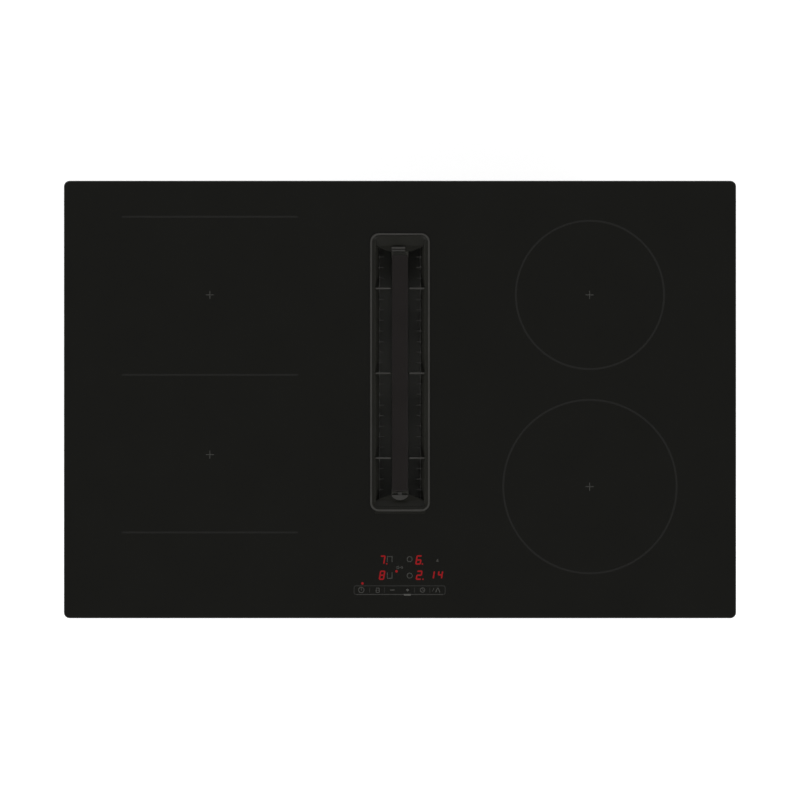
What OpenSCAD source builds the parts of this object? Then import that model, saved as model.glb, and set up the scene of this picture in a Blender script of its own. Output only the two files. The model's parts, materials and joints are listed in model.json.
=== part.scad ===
// Downdraft induction cooktop: a glass ceramic hob with an air inlet in its middle,
// a lift-out filter unit, four coils with their electronics, and a fan module below.
// Origin: centre of the glass, on the plane of the worktop. X right, Y to the rear, Z up.

/* [Glass] */
// Width of the glass
glass_w = 802; // [780:1:920]
// Depth of the glass
glass_d = 522; // [515:1:560]
// Thickness of the glass
glass_t = 4; // [3:0.5:6]
// Corner radius of the glass
glass_corner = 7; // [5:0.5:20]
// Bevel along the upper edge of the glass
glass_bevel = 0.8; // [0.3:0.1:1.5]

/* [Worktop] */
// Width of the cut-out in the worktop
cutout_w = 750; // [735:1:760]
// Depth of the cut-out in the worktop
cutout_d = 490; // [485:1:495]
// Gap between the cut-out and the tray on each side
cutout_gap = 2.5; // [2.2:0.1:4]
// Height of the foam seal once it is pressed
seal_t = 2; // [1.5:0.5:3]
// Width of the foam seal's band
seal_band = 10; // [6:1:14]
// Distance of the seal from the edge of the glass
seal_inset = 4; // [2:0.5:5]

/* [Air inlet] */
// Width of the inlet insert over its rim
inlet_w = 72; // [66:1:84]
// Depth of the inlet insert over its rim
inlet_d = 334.6; // [320:0.1:345]
// Distance of the inlet's centre behind the centre of the glass
inlet_y = 31.35; // [20:0.05:40]
// Outer corner radius of the rim
inlet_corner = 11; // [8:0.5:14]
// Width of rim that lies on the glass
rim_overlap = 4; // [3:0.5:6]
// Height of the rim above the glass
rim_h = 2.2; // [1.5:0.1:4]
// Width of the rim's flat band
rim_band = 2.6; // [1.5:0.1:3.5]
// Bevel outside the rim's band
rim_bevel = 0.5; // [0.2:0.1:0.8]
// Width of the lip in front of the rim
lip_w = 60; // [40:1:64]
// Run of the lip in front of the rim
lip_run = 2.2; // [1:0.1:4]
// Height of the lip above the glass
lip_h = 1.3; // [0.6:0.1:1.8]
// Width of the shoulder inside the band
shoulder_run = 3.4; // [2.5:0.1:4.5]
// Fall of the shoulder inside the band
shoulder_drop = 2; // [1:0.1:3]
// Draft of the side walls from shoulder to foot
wall_draft = 5; // [3:0.1:6]
// Depth of the insert below the top of the glass
grille_depth = 23; // [20:0.5:28]
// Wall of the insert at its foot
grille_wall = 2; // [1.5:0.1:3]
// Clearance of the insert in the glass on each side
insert_gap = 1; // [0.5:0.1:1.5]
// Distance of the end slope's foot from the outer edge
slope_foot_inset = 15; // [13:0.5:18]
// Fall of the end slope
slope_drop = 7; // [4:0.5:9]
// Run of the tongue that points at the bar
tongue_run = 7; // [5:0.5:8]
// Width of the tongue's tip
tongue_tip_w = 26; // [22:1:30]
// Thickness of the tongue
tongue_t = 3; // [2:0.5:5]
// Width of the front finger edge
tab_w = 19.5; // [14:0.5:21]
// Width of the stepped rear edge
rear_tab_w = 16; // [12:0.5:19]
// Shift of the stepped rear edge to the left
rear_tab_shift = 2; // [0:0.5:3]
// Run of a tab along the tongue
tab_run = 6.2; // [4:0.1:6.8]
// Rise of a tab above the tongue
tab_rise = 2.4; // [1:0.1:4]
// Radius of the front finger edge in plan
tab_r = 12; // [10.5:0.5:16]
// Width of the nib that holds the bar's front end in line
nib_w = 5; // [3:0.5:8]
// Rise of the nib above the tongue
nib_rise = 1.6; // [1:0.1:2.4]
// Distance from one cross rib to the next
rib_pitch = 101.2; // [80:0.1:104]
// Thickness of a cross rib
rib_t = 2; // [1.5:0.1:3]
// Height of a cross rib
rib_h = 12; // [9:0.5:14]
// Distance of a rib's crest below the rim's top
rib_drop = 2.6; // [1.5:0.1:4]
// Chamfer at both ends of a rib's crest
rib_chamfer = 1.6; // [0.5:0.1:2.5]
// Number of fine fins in one rib pitch
fins_per_rib = 8; // [4:1:10]
// Thickness of a fine fin
fin_t = 1; // [0.8:0.1:1.5]
// Distance that a fine fin stands out from its wall
fin_reach = 5.5; // [3:0.5:6]
// Height of a fine fin
fin_h = 8; // [5:0.5:10]

/* [Centre bar] */
// Width of the centre bar
bar_w = 19; // [16:0.5:21]
// Length of the centre bar
bar_d = 282; // [270:1:286]
// Thickness of the centre bar
bar_t = 5; // [4:0.5:6]
// Distance of the bar's face below the rim's top
bar_drop = 0.8; // [0:0.1:2]
// Chamfer along the bar
bar_chamfer = 1; // [0.5:0.1:1.6]
// Play between bar and ribs on each side
bar_gap = 0.3; // [0.1:0.05:0.5]

/* [Filter unit] */
// Clearance of the filter unit in the opening on each side
filter_gap = 1.5; // [1:0.1:2.5]
// Height of the filter frame
filter_h = 52; // [46:1:56]
// Distance from insert to filter frame
filter_drop = 1.5; // [0.5:0.5:4]
// Wall of the filter frame
filter_wall = 3; // [2:0.5:4]
// Corner radius of the filter unit
filter_corner = 6; // [4:0.5:8]
// Height of the frame's upper and lower rails
filter_rail = 6; // [4:0.5:9]
// Width of the posts between the filter's windows
filter_post = 7; // [4:0.5:12]
// Thickness of a filter mesh
mesh_t = 3; // [2:0.5:5]
// Play behind a filter mesh
mesh_gap = 0.3; // [0.1:0.05:0.5]
// Width of the drain slots in the filter's floor
drain_slot = 5; // [3:0.5:8]
// Height of the drip tray
drip_h = 40; // [30:1:44]
// Wall of the drip tray
drip_wall = 2; // [1.5:0.5:3]

/* [Shaft] */
// Inner width of the inlet shaft
shaft_w = 100; // [92:1:108]
// Inner depth of the inlet shaft
shaft_d = 345; // [335:1:350]
// Wall of the inlet shaft
shaft_wall = 2.5; // [2:0.5:3]
// Corner radius inside the shaft
shaft_corner = 10; // [6:1:16]
// Width of the shaft's flange outside its wall
shaft_flange = 7; // [5:0.5:8]
// Distance that the shaft reaches into the fan module
shaft_plug = 6; // [4:0.5:12]
// Clearance round the shaft where it passes through
shaft_gap = 0.5; // [0.3:0.1:1]
// Height of the gasket once it is pressed
gasket_t = 3; // [2.5:0.1:4]
// Distance of the gasket from the edge of the flange
gasket_inset = 1; // [0.5:0.1:2]

/* [Tray] */
// Depth of the tray below the worktop's surface
tray_h = 60; // [57:1:66]
// Thickness of the tray's sheet
tray_sheet = 1; // [0.8:0.1:1.5]
// Corner radius of the tray
tray_corner = 8; // [6:1:12]
// Height of the frame that carries the glass
frame_h = 7; // [6:0.5:8]
// Width of the frame that carries the glass
frame_band = 6; // [5:0.5:7]
// Height of the adhesive bead
bead_t = 1; // [0.5:0.1:1.4]
// Width of the adhesive bead
bead_band = 4; // [3:0.5:5]
// Play of the frame in the tray on each side
frame_gap = 0.3; // [0.2:0.05:0.6]
// Shank radius of the tray's screws
tray_screw_r = 1.5; // [1.2:0.1:1.8]
// Head radius of the tray's screws
tray_screw_head_r = 2.9; // [2.5:0.1:3.2]
// Head height of the tray's screws
tray_screw_head_h = 1.5; // [1:0.1:1.8]
// Radius of the clamp screw holes in the tray's floor
clamp_hole_r = 2.1; // [1.7:0.1:2.6]
// Distance between the clamp screw holes along the width
clamp_pitch_x = 720; // [710:1:724]
// Distance between the clamp screw holes along the depth
clamp_pitch_y = 460; // [450:1:464]
// Width of a vent slot
vent_slot = 3.5; // [2.5:0.5:5]
// Height of the vent slots in the front wall
vent_h = 14; // [8:1:18]
// Number of vent slots on each side of the front wall
vent_count = 12; // [6:1:16]

/* [Coils] */
// Distance of the left zones' centres from the middle
left_zone_x = 226.8; // [215:0.1:235]
// Distance of the right zones' centres from the middle
right_zone_x = 226.2; // [215:0.1:235]
// Place of both rear zones behind the middle
rear_zone_y = 124.8; // [120:0.1:128]
// Place of the left front zone before the middle
left_front_zone_y = 65.8; // [64:0.1:75]
// Place of the right front zone before the middle
right_front_zone_y = 103.9; // [96:0.1:106]
// Outer diameter of the left windings
left_coil_d = 184; // [150:1:186]
// Outer diameter of the right rear winding
right_rear_coil_d = 176; // [150:1:188]
// Outer diameter of the right front winding
right_front_coil_d = 206; // [190:1:210]
// Hole in the middle of a winding
coil_hole_r = 24; // [20:1:30]
// Distance from one turn to the next
coil_pitch = 4.5; // [4.2:0.1:6]
// Width of the wire
wire_w = 3.6; // [3:0.1:3.7]
// Height of the wire
wire_h = 4; // [3:0.5:5]
// Thickness of the insulating disc between winding and glass
mica_t = 1; // [0.5:0.1:1.5]
// Thickness of a coil carrier
carrier_t = 4; // [3:0.5:5]
// Overhang of a carrier beyond its winding
carrier_margin = 2; // [1:0.5:3]
// Height of a ferrite bar
ferrite_t = 4; // [3:0.5:6]
// Width of a ferrite bar
ferrite_w = 9; // [6:0.5:12]
// Number of ferrite bars on a coil
ferrite_count = 8; // [6:1:10]
// Radius of a temperature sensor
sensor_r = 8; // [5:0.5:11]
// Radius of a coil support
support_r = 5; // [4:0.5:7]

/* [Electronics] */
// Distance of the shields below the worktop's surface
shield_drop = 24; // [20:0.5:26]
// Thickness of a shield
shield_t = 1; // [0.8:0.1:1.5]
// Width of a shield
shield_w = 286; // [280:1:292]
// Depth of a shield
shield_d = 440; // [420:1:446]
// Distance of a shield's inner leg from the middle
shield_x = 66; // [64:0.5:72]
// Place of a shield's middle behind the centre
shield_y = 5; // [0:0.5:8]
// Width of a power board
board_w = 225; // [200:1:235]
// Depth of a power board
board_d = 236; // [200:1:240]
// Thickness of the boards
board_t = 1.6; // [1.2:0.1:2]
// Distance of a power board's middle from the middle of the hob
board_x = 216; // [210:1:220]
// Height of the spacers below the boards
spacer_h = 6; // [4:0.5:7]
// Radius of a spacer
spacer_r = 3.5; // [2.5:0.5:5]
// Distance of a spacer from the board's edges
spacer_inset = 7; // [5:0.5:10]
// Width of a heat sink
sink_w = 48; // [40:1:56]
// Depth of a heat sink
sink_d = 180; // [150:1:200]
// Height of a heat sink
sink_h = 23; // [16:0.5:24]
// Base of a heat sink
sink_base = 4; // [3:0.5:6]
// Number of fins on a heat sink
sink_fins = 9; // [5:1:12]
// Thickness of a heat sink's fin
sink_fin_t = 1.6; // [1:0.1:2.5]
// Width of a transistor's body
transistor_w = 16; // [12:1:20]
// Thickness of a transistor's body
transistor_t = 5; // [4:0.5:6]
// Height of a transistor's body
transistor_h = 18; // [14:1:20]
// Width of a capacitor
capacitor_w = 32; // [24:1:40]
// Depth of a capacitor
capacitor_d = 18; // [12:1:24]
// Height of a capacitor
capacitor_h = 20; // [14:1:23]
// Side of a cooling fan's housing
cooler_side = 78; // [70:1:84]
// Height of a cooling fan's housing
cooler_h = 25; // [20:1:28]
// Wall of a cooling fan's housing
cooler_wall = 1.5; // [1:0.5:2.5]
// Radius of a cooling fan's rotor
cooler_r = 29; // [24:1:30]
// Distance of a cooling fan's housing from the outer leg of its shield
cooler_margin = 12; // [10:0.5:16]
// Distance of a cooling fan's axis before the centre
cooler_y = 168; // [165:1:174]
// Radius of a cooling fan's pin
cooler_pin_r = 2.5; // [2:0.1:4]
// Number of blades on a cooling fan
cooler_blades = 15; // [9:1:21]
// Width of the mains board
mains_w = 100; // [80:1:104]
// Depth of the mains board
mains_d = 72; // [50:1:76]
// Width of the terminal block
terminal_w = 70; // [50:1:76]
// Depth of the terminal block
terminal_d = 36; // [24:1:44]
// Height of the terminal block
terminal_h = 26; // [18:1:30]
// Bore radius of the cable gland
gland_bore_r = 5.2; // [4:0.1:6]
// Thread radius of the cable gland
gland_thread_r = 8; // [7.5:0.1:9]
// Collar radius of the cable gland
gland_collar_r = 12; // [11:0.5:14]
// Height of the cable gland's collar
gland_collar_h = 16; // [10:1:24]

/* [Controls] */
// Width of the touch board
touch_w = 116; // [112:1:120]
// Depth of the touch board
touch_d = 56; // [52:1:57]
// Place of the touch board's middle before the centre
touch_y = 206; // [204:0.5:206.5]
// Height of the displays and the touch springs
display_h = 8; // [7.5:0.5:12]
// Width of one display digit
digit_w = 14; // [10:1:16]
// Depth of one display digit
digit_d = 15; // [10:0.5:15]
// Thickness of the control holder
holder_t = 2; // [1.5:0.5:3]
// Margin of the control holder round its board
holder_margin = 3; // [1:0.5:4]
// Radius of the control holder's legs
holder_leg_r = 4; // [3:0.5:6]
// Radius of a touch spring
touch_spring_r = 4; // [3:0.5:5]
// Distance between the touch springs
touch_pitch = 18; // [14:0.5:18]
// Distance of the touch bar before the centre
touch_bar_y = 227.8; // [226:0.1:229]

/* [Fan module] */
// Width of the module's casing
module_w = 400; // [390:1:410]
// Depth of the module's casing
module_d = 415; // [405:1:425]
// Distance of the module's middle to the right
module_x = 65; // [60:1:70]
// Distance of the module's middle to the rear
module_y = 17.5; // [12:0.5:20]
// Overall height of the cooktop
overall_h = 223; // [218:1:240]
// Wall of the module's casing
case_wall = 2.5; // [2:0.5:3]
// Corner radius of the module's casing
case_corner = 18; // [12:1:24]
// Height of the space between the tray and the deck
plenum_h = 60; // [56:1:64]
// Radius of the screw ears on the casing
ear_r = 7; // [6:0.5:9]
// Thickness of a screw ear
ear_t = 6; // [4:0.5:8]
// Shank radius of the casing's screws
case_screw_r = 2; // [1.5:0.1:2.5]
// Head radius of the casing's screws
case_screw_head_r = 4; // [3.5:0.1:5]
// Head height of the casing's screws
case_screw_head_h = 2.5; // [1.5:0.1:3.5]
// Distance of the module's screws from its outline
module_screw_inset = 16; // [12:1:20]
// Depth of the recessed fields under the module
field_depth = 1; // [0.5:0.1:1.2]
// Width of the ribs between the recessed fields
field_rib = 6; // [3:0.5:12]
// Corner radius of a recessed field
field_corner = 5; // [3:0.5:8]
// Number of recessed fields along the width
fields_x = 4; // [2:1:6]
// Number of recessed fields along the depth
fields_y = 4; // [2:1:6]

/* [Fan] */
// Distance of the fan's axis to the right
fan_x = 135; // [130:1:137]
// Distance of the fan's axis before the centre
fan_y = 20; // [10:1:30]
// Radius of the impeller
impeller_r = 78; // [70:1:80]
// Height of the impeller's blades
impeller_h = 70; // [56:1:72]
// Ring width of the impeller's blade circle
blade_ring = 13; // [9:1:16]
// Number of impeller blades
blade_count = 32; // [16:1:40]
// Thickness of an impeller blade
blade_t = 1.2; // [0.8:0.1:2]
// Thickness of the impeller's discs and rings
impeller_disc_t = 2; // [1.5:0.5:3]
// Radius of the fan's inlet in the deck
eye_r = 60; // [50:1:62]
// Height of the lip below the fan's inlet
eye_lip_h = 6; // [3:0.5:7]
// Least distance from impeller to scroll
scroll_gap = 6; // [4:0.5:8]
// Growth of the scroll's radius over its turn
scroll_growth = 41; // [34:1:43]
// Angle of the scroll's tongue
tongue_angle = 30; // [20:1:40]
// Wall of the scroll
scroll_wall_t = 2.5; // [2:0.5:3]
// Outer width of the flat duct
duct_w = 222; // [200:1:222]
// Outer height of the flat duct
duct_h = 89; // [80:1:89]
// Wall of the duct connector
duct_wall = 2.5; // [1.5:0.5:3]
// Length of the duct connector's spigot
duct_len = 30; // [20:1:32]
// Margin of the duct connector's flange
duct_margin = 3; // [2:0.5:4]
// Height of the duct connector's flange above the base
duct_lift = 1.5; // [0.5:0.5:3]
// Radius of the motor's shaft
shaft_r = 4; // [3:0.1:5]
// Running clearance of shafts and pins in their bores
running_gap = 0.05; // [0.02:0.01:0.08]
// Outer radius of the motor's bearings
bearing_r = 7.5; // [7:0.1:9]
// Height of a motor bearing
bearing_h = 6; // [4:0.5:8]
// Wall of the tube that holds the bearings
bearing_tube_wall = 2; // [1.5:0.1:3]
// Outer radius of the motor's stator
stator_r = 32; // [26:1:34]
// Height of the motor's stator
stator_h = 22; // [16:1:24]
// Air gap of the motor
air_gap = 0.5; // [0.4:0.1:0.8]
// Wall of the motor's rotor cup
rotor_wall = 4; // [2:0.5:5]
// Radius of the motor's mounting plate
mount_r = 50; // [44:1:54]
// Height of the motor's rubber bushes
bush_h = 6; // [4:0.5:10]
// Radius of a rubber bush
bush_r = 7; // [5:0.5:8]

/* [Overflow container] */
// Width of the overflow container
container_w = 90; // [70:1:90]
// Length of the overflow container
container_d = 180; // [140:1:200]
// Height of the overflow container
container_h = 70; // [50:1:78]
// Wall of the overflow container
container_wall = 2; // [1.5:0.5:3]
// Distance of the container's middle to the left
container_x = 25; // [25:1:32]
// Height of the runners below the container
runner_h = 9.5; // [6:0.5:12]
// Margin of the container's front panel
panel_margin = 6; // [4:0.5:7]
// Thickness of the container's front panel
panel_t = 3; // [2:0.5:4]
// Thickness of the container's seal
panel_seal_t = 1.5; // [1:0.1:2.5]
// Clearance of the container in the casing's window
window_gap = 1; // [0.5:0.1:1.5]
// Width of the container's grip
grip_w = 50; // [30:1:60]
// Reach of the container's grip
grip_run = 9; // [6:0.5:14]
// Height of the container's grip
grip_h = 8; // [6:0.5:12]

/* [Hidden] */
$fn = 64;
// Every cut runs this far past the face that it opens
cut = 1;
// Shares of the sizes that small features follow
tray_screw_share = 0.8;
step_share = 0.8;
support_place_share = 0.75;
drain_shares = [0.6, 0.5];
slot_place_share = 0.1;
cooler_blade_shares = [0.62, 0.98];
blade_share = 0.92;
stator_slot_shares = [0.5, 0.85];
// Counts and angles of what repeats
blade_angle = 25;
stator_slots = 12;
bush_count = 3;
supports_per_coil = 4;
spiral_steps = 40;
swing_steps = 16;

// Levels of the glass, the inlet and the filter unit
glass_top_z = seal_t + glass_t;
rim_top_z = glass_top_z + rim_h;
grille_foot_z = glass_top_z - grille_depth;
filter_top_z = grille_foot_z - filter_drop;
filter_foot_z = filter_top_z - filter_h;
drip_foot_z = filter_foot_z - drip_h;
// Opening in the glass
opening_w = inlet_w - 2 * rim_overlap;
opening_d = inlet_d - 2 * rim_overlap;
opening_r = inlet_corner - rim_overlap;
// The insert's rim without the lip before it
rim_d = inlet_d - lip_run;
rim_shift = lip_run / 2;
// Half widths inside the insert: at the band, at the shoulder's foot and at the wall's foot
band_x = inlet_w / 2 - rim_band;
shoulder_x = band_x - shoulder_run;
foot_x = shoulder_x - wall_draft;
body_w = opening_w - 2 * insert_gap;
body_d = opening_d - 2 * insert_gap;
slope_foot_y = inlet_d / 2 - slope_foot_inset;
slope_foot_z = rim_top_z - slope_drop;
bar_top_z = rim_top_z - bar_drop;
bar_foot_z = bar_top_z - bar_t;
rib_top_z = rim_top_z - rib_drop;
fin_pitch = rib_pitch / fins_per_rib;
// Filter unit
filter_w = opening_w - 2 * filter_gap;
filter_d = opening_d - 2 * filter_gap;
filter_in_w = filter_w - 2 * filter_wall;
filter_in_d = filter_d - 2 * filter_wall;
mesh_d = filter_in_d - 2 * filter_corner;
mesh_h = filter_h - filter_wall - filter_rail / 2;
// Tray and frame
tray_w = cutout_w - 2 * cutout_gap;
tray_d = cutout_d - 2 * cutout_gap;
floor_z = tray_sheet - tray_h;
frame_w = tray_w - 2 * (tray_sheet + frame_gap);
frame_d = tray_d - 2 * (tray_sheet + frame_gap);
frame_r = tray_corner - tray_sheet - frame_gap;
frame_top_z = seal_t - bead_t;
frame_foot_z = frame_top_z - frame_h;
tray_screw_z = frame_foot_z / 2;
tray_screw_len = frame_band * tray_screw_share + tray_sheet + frame_gap;
shaft_top_z = seal_t - gasket_t;
shaft_foot_z = -tray_h - shaft_plug;
shaft_out_w = shaft_w + 2 * shaft_wall;
shaft_out_d = shaft_d + 2 * shaft_wall;
// Coils: centre and outer radius of each
zone_places = [[-left_zone_x, rear_zone_y], [-left_zone_x, -left_front_zone_y],
    [right_zone_x, rear_zone_y], [right_zone_x, -right_front_zone_y]];
coil_radii = [left_coil_d / 2, left_coil_d / 2, right_rear_coil_d / 2, right_front_coil_d / 2];
coil_top_z = seal_t - mica_t;
coil_foot_z = coil_top_z - wire_h;
carrier_foot_z = coil_foot_z - carrier_t;
shield_top_z = -shield_drop;
// Boards
board_z = floor_z + spacer_h;
board_top_z = board_z + board_t;
sink_x = board_x + board_w / 2 - sink_w / 2 - spacer_inset - spacer_r;
cooler_x = shield_x + shield_w - shield_t - cooler_margin - cooler_side / 2;
board_y = cooler_side / 2 - cooler_y + board_d / 2 + spacer_inset;
transistor_x = sink_x - sink_w / 2 - transistor_t;
capacitor_x = board_x - board_w / 2 + capacitor_w / 2 + 2 * spacer_inset;
mains_x = -left_zone_x + terminal_w / 2;
mains_y = shield_y + shield_d / 2 - mains_d / 2 - 2 * spacer_inset;
terminal_x = mains_x - mains_w / 2 - terminal_w / 2 - spacer_inset;
gland_y = mains_y - terminal_d / 2 - gland_collar_r - spacer_inset;
// Controls
touch_top_z = seal_t - display_h;
touch_foot_z = touch_top_z - board_t;
// Fan module
module_top_z = -tray_h;
deck_top_z = module_top_z - plenum_h;
deck_foot_z = deck_top_z - case_wall;
base_z = rim_top_z - overall_h;
base_top_z = base_z + case_wall;
scroll_r0 = impeller_r + scroll_gap;
scroll_r1 = scroll_r0 + scroll_growth;
duct_x = module_x + module_w / 2 - case_corner - duct_margin - duct_w / 2;
duct_z = base_z + duct_h / 2 + duct_margin + duct_lift;
module_rear = module_y + module_d / 2;
module_front = module_y - module_d / 2;
ear_y_shares = [-0.4, 0, 0.4];
// Motor levels
mount_z = base_top_z + bush_h;
mount_top_z = mount_z + case_wall;
stator_z = mount_top_z + case_wall;
rotor_top_z = stator_z + stator_h + 2 * rotor_wall;
impeller_foot_z = mount_top_z + impeller_disc_t;
blade_top_z = impeller_foot_z + impeller_h;
bearing_tube_r = bearing_r + bearing_tube_wall;
// Overflow container
container_foot_z = base_top_z + runner_h;
container_top_z = container_foot_z + container_h;
panel_y = module_front - panel_seal_t;
container_mid_y = panel_y + container_d / 2;

// Outline with round corners
module rounded(w, d, r) {
    square([w - 2 * r, d], center = true);
    square([w, d - 2 * r], center = true);
    for (sx = [-1, 1], sy = [-1, 1])
        translate([sx * (w / 2 - r), sy * (d / 2 - r)])
            circle(r);
}

// Upright block with round corners, from z to z + h
module slab(w, d, r, z, h) {
    translate([0, 0, z])
        linear_extrude(h)
            rounded(w, d, r);
}

// Upright frame with round corners, band wide
module band(w, d, r, b, z, h) {
    translate([0, 0, z])
        linear_extrude(h)
            difference() {
                rounded(w, d, r);
                rounded(w - 2 * b, d - 2 * b, max(r - b, r / 3));
            }
}

// Plate with round corners and a bevel b along its upper edge, standing on z = 0
module bevelled(w, d, h, r, b) {
    for (sx = [-1, 1], sy = [-1, 1])
        translate([sx * (w / 2 - r), sy * (d / 2 - r), 0])
            rotate_extrude()
                polygon([[0, 0], [r, 0], [r, h - b], [r - b, h], [0, h]]);
    rotate([90, 0, 0])
        linear_extrude(d - 2 * r, center = true)
            bevel_profile(w, h, b);
    rotate([90, 0, 90])
        linear_extrude(w - 2 * r, center = true)
            bevel_profile(d, h, b);
}

module bevel_profile(w, h, b) {
    polygon([[-w / 2, 0], [w / 2, 0], [w / 2, h - b], [w / 2 - b, h], [b - w / 2, h], [-w / 2, h - b]]);
}

// Solid with its profile in X and Z, running along Y from y0 to y1
module along_y(y0, y1) {
    translate([0, y1, 0])
        rotate([90, 0, 0])
            linear_extrude(y1 - y0)
                children();
}

// Solid with its profile in Y and Z, running along X from x0 to x1
module along_x(x0, x1) {
    translate([x0, 0, 0])
        rotate([90, 0, 90])
            linear_extrude(x1 - x0)
                children();
}

module block(x0, x1, y0, y1, z0, z1) {
    translate([x0, y0, z0])
        cube([x1 - x0, y1 - y0, z1 - z0]);
}

module rod(r, z0, z1) {
    translate([0, 0, z0])
        cylinder(h = z1 - z0, r = r);
}

module tube(r_out, r_in, z0, z1) {
    difference() {
        rod(r_out, z0, z1);
        rod(r_in, z0 - cut, z1 + cut);
    }
}

module at_inlet() {
    translate([0, inlet_y, 0])
        children();
}

module at_fan() {
    translate([fan_x, -fan_y, 0])
        children();
}

module at_module() {
    translate([module_x, module_y, 0])
        children();
}

module glass_top() {
    color("#1a1a18")
        difference() {
            translate([0, 0, seal_t])
                bevelled(glass_w, glass_d, glass_t, glass_corner, glass_bevel);
            at_inlet()
                slab(opening_w, opening_d, opening_r, seal_t - cut, glass_t + 2 * cut);
        }
}

module worktop_seal() {
    color("#2a2a2a")
        band(glass_w - 2 * seal_inset, glass_d - 2 * seal_inset, glass_corner, seal_band, 0, seal_t);
}

module glass_adhesive() {
    color("#161616")
        band(frame_w - frame_band + bead_band, frame_d - frame_band + bead_band, frame_r, bead_band,
            frame_top_z, bead_t);
}

// Screw places round the tray: [x, y, angle] with the head outside
function tray_screw_places() = concat(
    [for (sy = [-1, 1], k = [-1, 0, 1]) [k * frame_w / 3, sy * tray_d / 2, sy * 90]],
    [for (sx = [-1, 1], k = [-1, 1]) [sx * tray_w / 2, k * frame_d / 4, sx > 0 ? 0 : 180]]);

module at_tray_screws() {
    for (p = tray_screw_places())
        translate([p[0], p[1], tray_screw_z])
            rotate([0, 0, p[2]])
                rotate([0, -90, 0])
                    children();
}

module support_frame() {
    color("#3a3a3a")
        difference() {
            band(frame_w, frame_d, frame_r, frame_band, frame_foot_z, frame_h);
            at_tray_screws()
                rod(tray_screw_r + running_gap, -cut, tray_screw_len + cut);
        }
}

module tray_screws() {
    color("#b8bcc0")
        at_tray_screws() {
            rod(tray_screw_r, 0, tray_screw_len);
            rod(tray_screw_head_r, -tray_screw_head_h, 0);
        }
}

// Slots inside a circle, a chord each
module round_vent(r) {
    n = floor(r / (2 * vent_slot));
    for (k = [-n : n]) {
        reach = sqrt(r * r - pow(2 * k * vent_slot, 2));
        block(2 * k * vent_slot - vent_slot / 2, 2 * k * vent_slot + vent_slot / 2, -reach, reach,
            -tray_h - cut, floor_z + cut);
    }
}

module base_tray() {
    vent_pitch = 3 * vent_slot;
    color("#8d9093")
        difference() {
            slab(tray_w, tray_d, tray_corner, -tray_h, tray_h);
            slab(tray_w - 2 * tray_sheet, tray_d - 2 * tray_sheet, tray_corner - tray_sheet,
                floor_z, tray_h);
            at_inlet()
                slab(shaft_out_w + 2 * shaft_gap, shaft_out_d + 2 * shaft_gap,
                    shaft_corner + shaft_wall + shaft_gap, -tray_h - cut, tray_sheet + 2 * cut);
            for (s = [-1, 1])
                translate([s * cooler_x, -cooler_y, 0])
                    round_vent(cooler_r - 2 * cooler_wall);
            for (s = [-1, 1], k = [0 : vent_count - 1])
                translate([s * (shield_x + shield_w / 2) + (k - (vent_count - 1) / 2) * vent_pitch, 0, 0])
                    block(-vent_slot / 2, vent_slot / 2, -tray_d / 2 - cut, cut - tray_d / 2 + tray_sheet,
                        -(tray_h + vent_h) / 2, (vent_h - tray_h) / 2);
            for (sx = [-1, 1], sy = [-1, 1])
                translate([sx * clamp_pitch_x / 2, sy * clamp_pitch_y / 2, 0])
                    rod(clamp_hole_r, -tray_h - cut, floor_z + cut);
            translate([terminal_x, gland_y, 0])
                rod(gland_thread_r + running_gap, -tray_h - cut, floor_z + cut);
            at_module_screws()
                rod(case_screw_r + running_gap, -tray_h - cut, floor_z + cut);
            at_tray_screws()
                rod(tray_screw_r + running_gap, -cut, tray_sheet + cut);
        }
}

module inlet_gasket() {
    color("#222222")
        at_inlet()
            band(shaft_out_w + 2 * (shaft_flange - gasket_inset),
                shaft_out_d + 2 * (shaft_flange - gasket_inset),
                shaft_corner + shaft_flange, shaft_flange, shaft_top_z, gasket_t);
}

module inlet_shaft() {
    color("#26272a")
        at_inlet()
            difference() {
                union() {
                    slab(shaft_out_w + 2 * shaft_flange, shaft_out_d + 2 * shaft_flange,
                        shaft_corner + shaft_wall + shaft_flange, shaft_top_z - shaft_wall, shaft_wall);
                    slab(shaft_out_w, shaft_out_d, shaft_corner + shaft_wall, shaft_foot_z,
                        shaft_top_z - shaft_foot_z);
                }
                slab(shaft_w, shaft_d, shaft_corner, shaft_foot_z - cut,
                    shaft_top_z - shaft_wall - shaft_foot_z + cut);
                slab(opening_w + 2 * insert_gap, opening_d + 2 * insert_gap, opening_r,
                    shaft_top_z - shaft_wall - cut, shaft_wall + 2 * cut);
            }
}

// Space inside the insert between its side walls
module side_void() {
    polygon([[-foot_x, grille_foot_z - cut], [foot_x, grille_foot_z - cut], [foot_x, grille_foot_z],
        [shoulder_x, rim_top_z - shoulder_drop], [band_x, rim_top_z], [band_x, rim_top_z + cut],
        [-band_x, rim_top_z + cut], [-band_x, rim_top_z], [-shoulder_x, rim_top_z - shoulder_drop],
        [-foot_x, grille_foot_z]]);
}

// Space inside the insert between its end slopes
module end_void() {
    rear = inlet_d / 2 - rim_band;
    front = rim_band + lip_run - inlet_d / 2;
    polygon([[-slope_foot_y, grille_foot_z - cut], [slope_foot_y, grille_foot_z - cut],
        [slope_foot_y, slope_foot_z], [rear, rim_top_z], [rear, rim_top_z + cut],
        [front, rim_top_z + cut], [front, rim_top_z], [-slope_foot_y, slope_foot_z]]);
}

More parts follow.
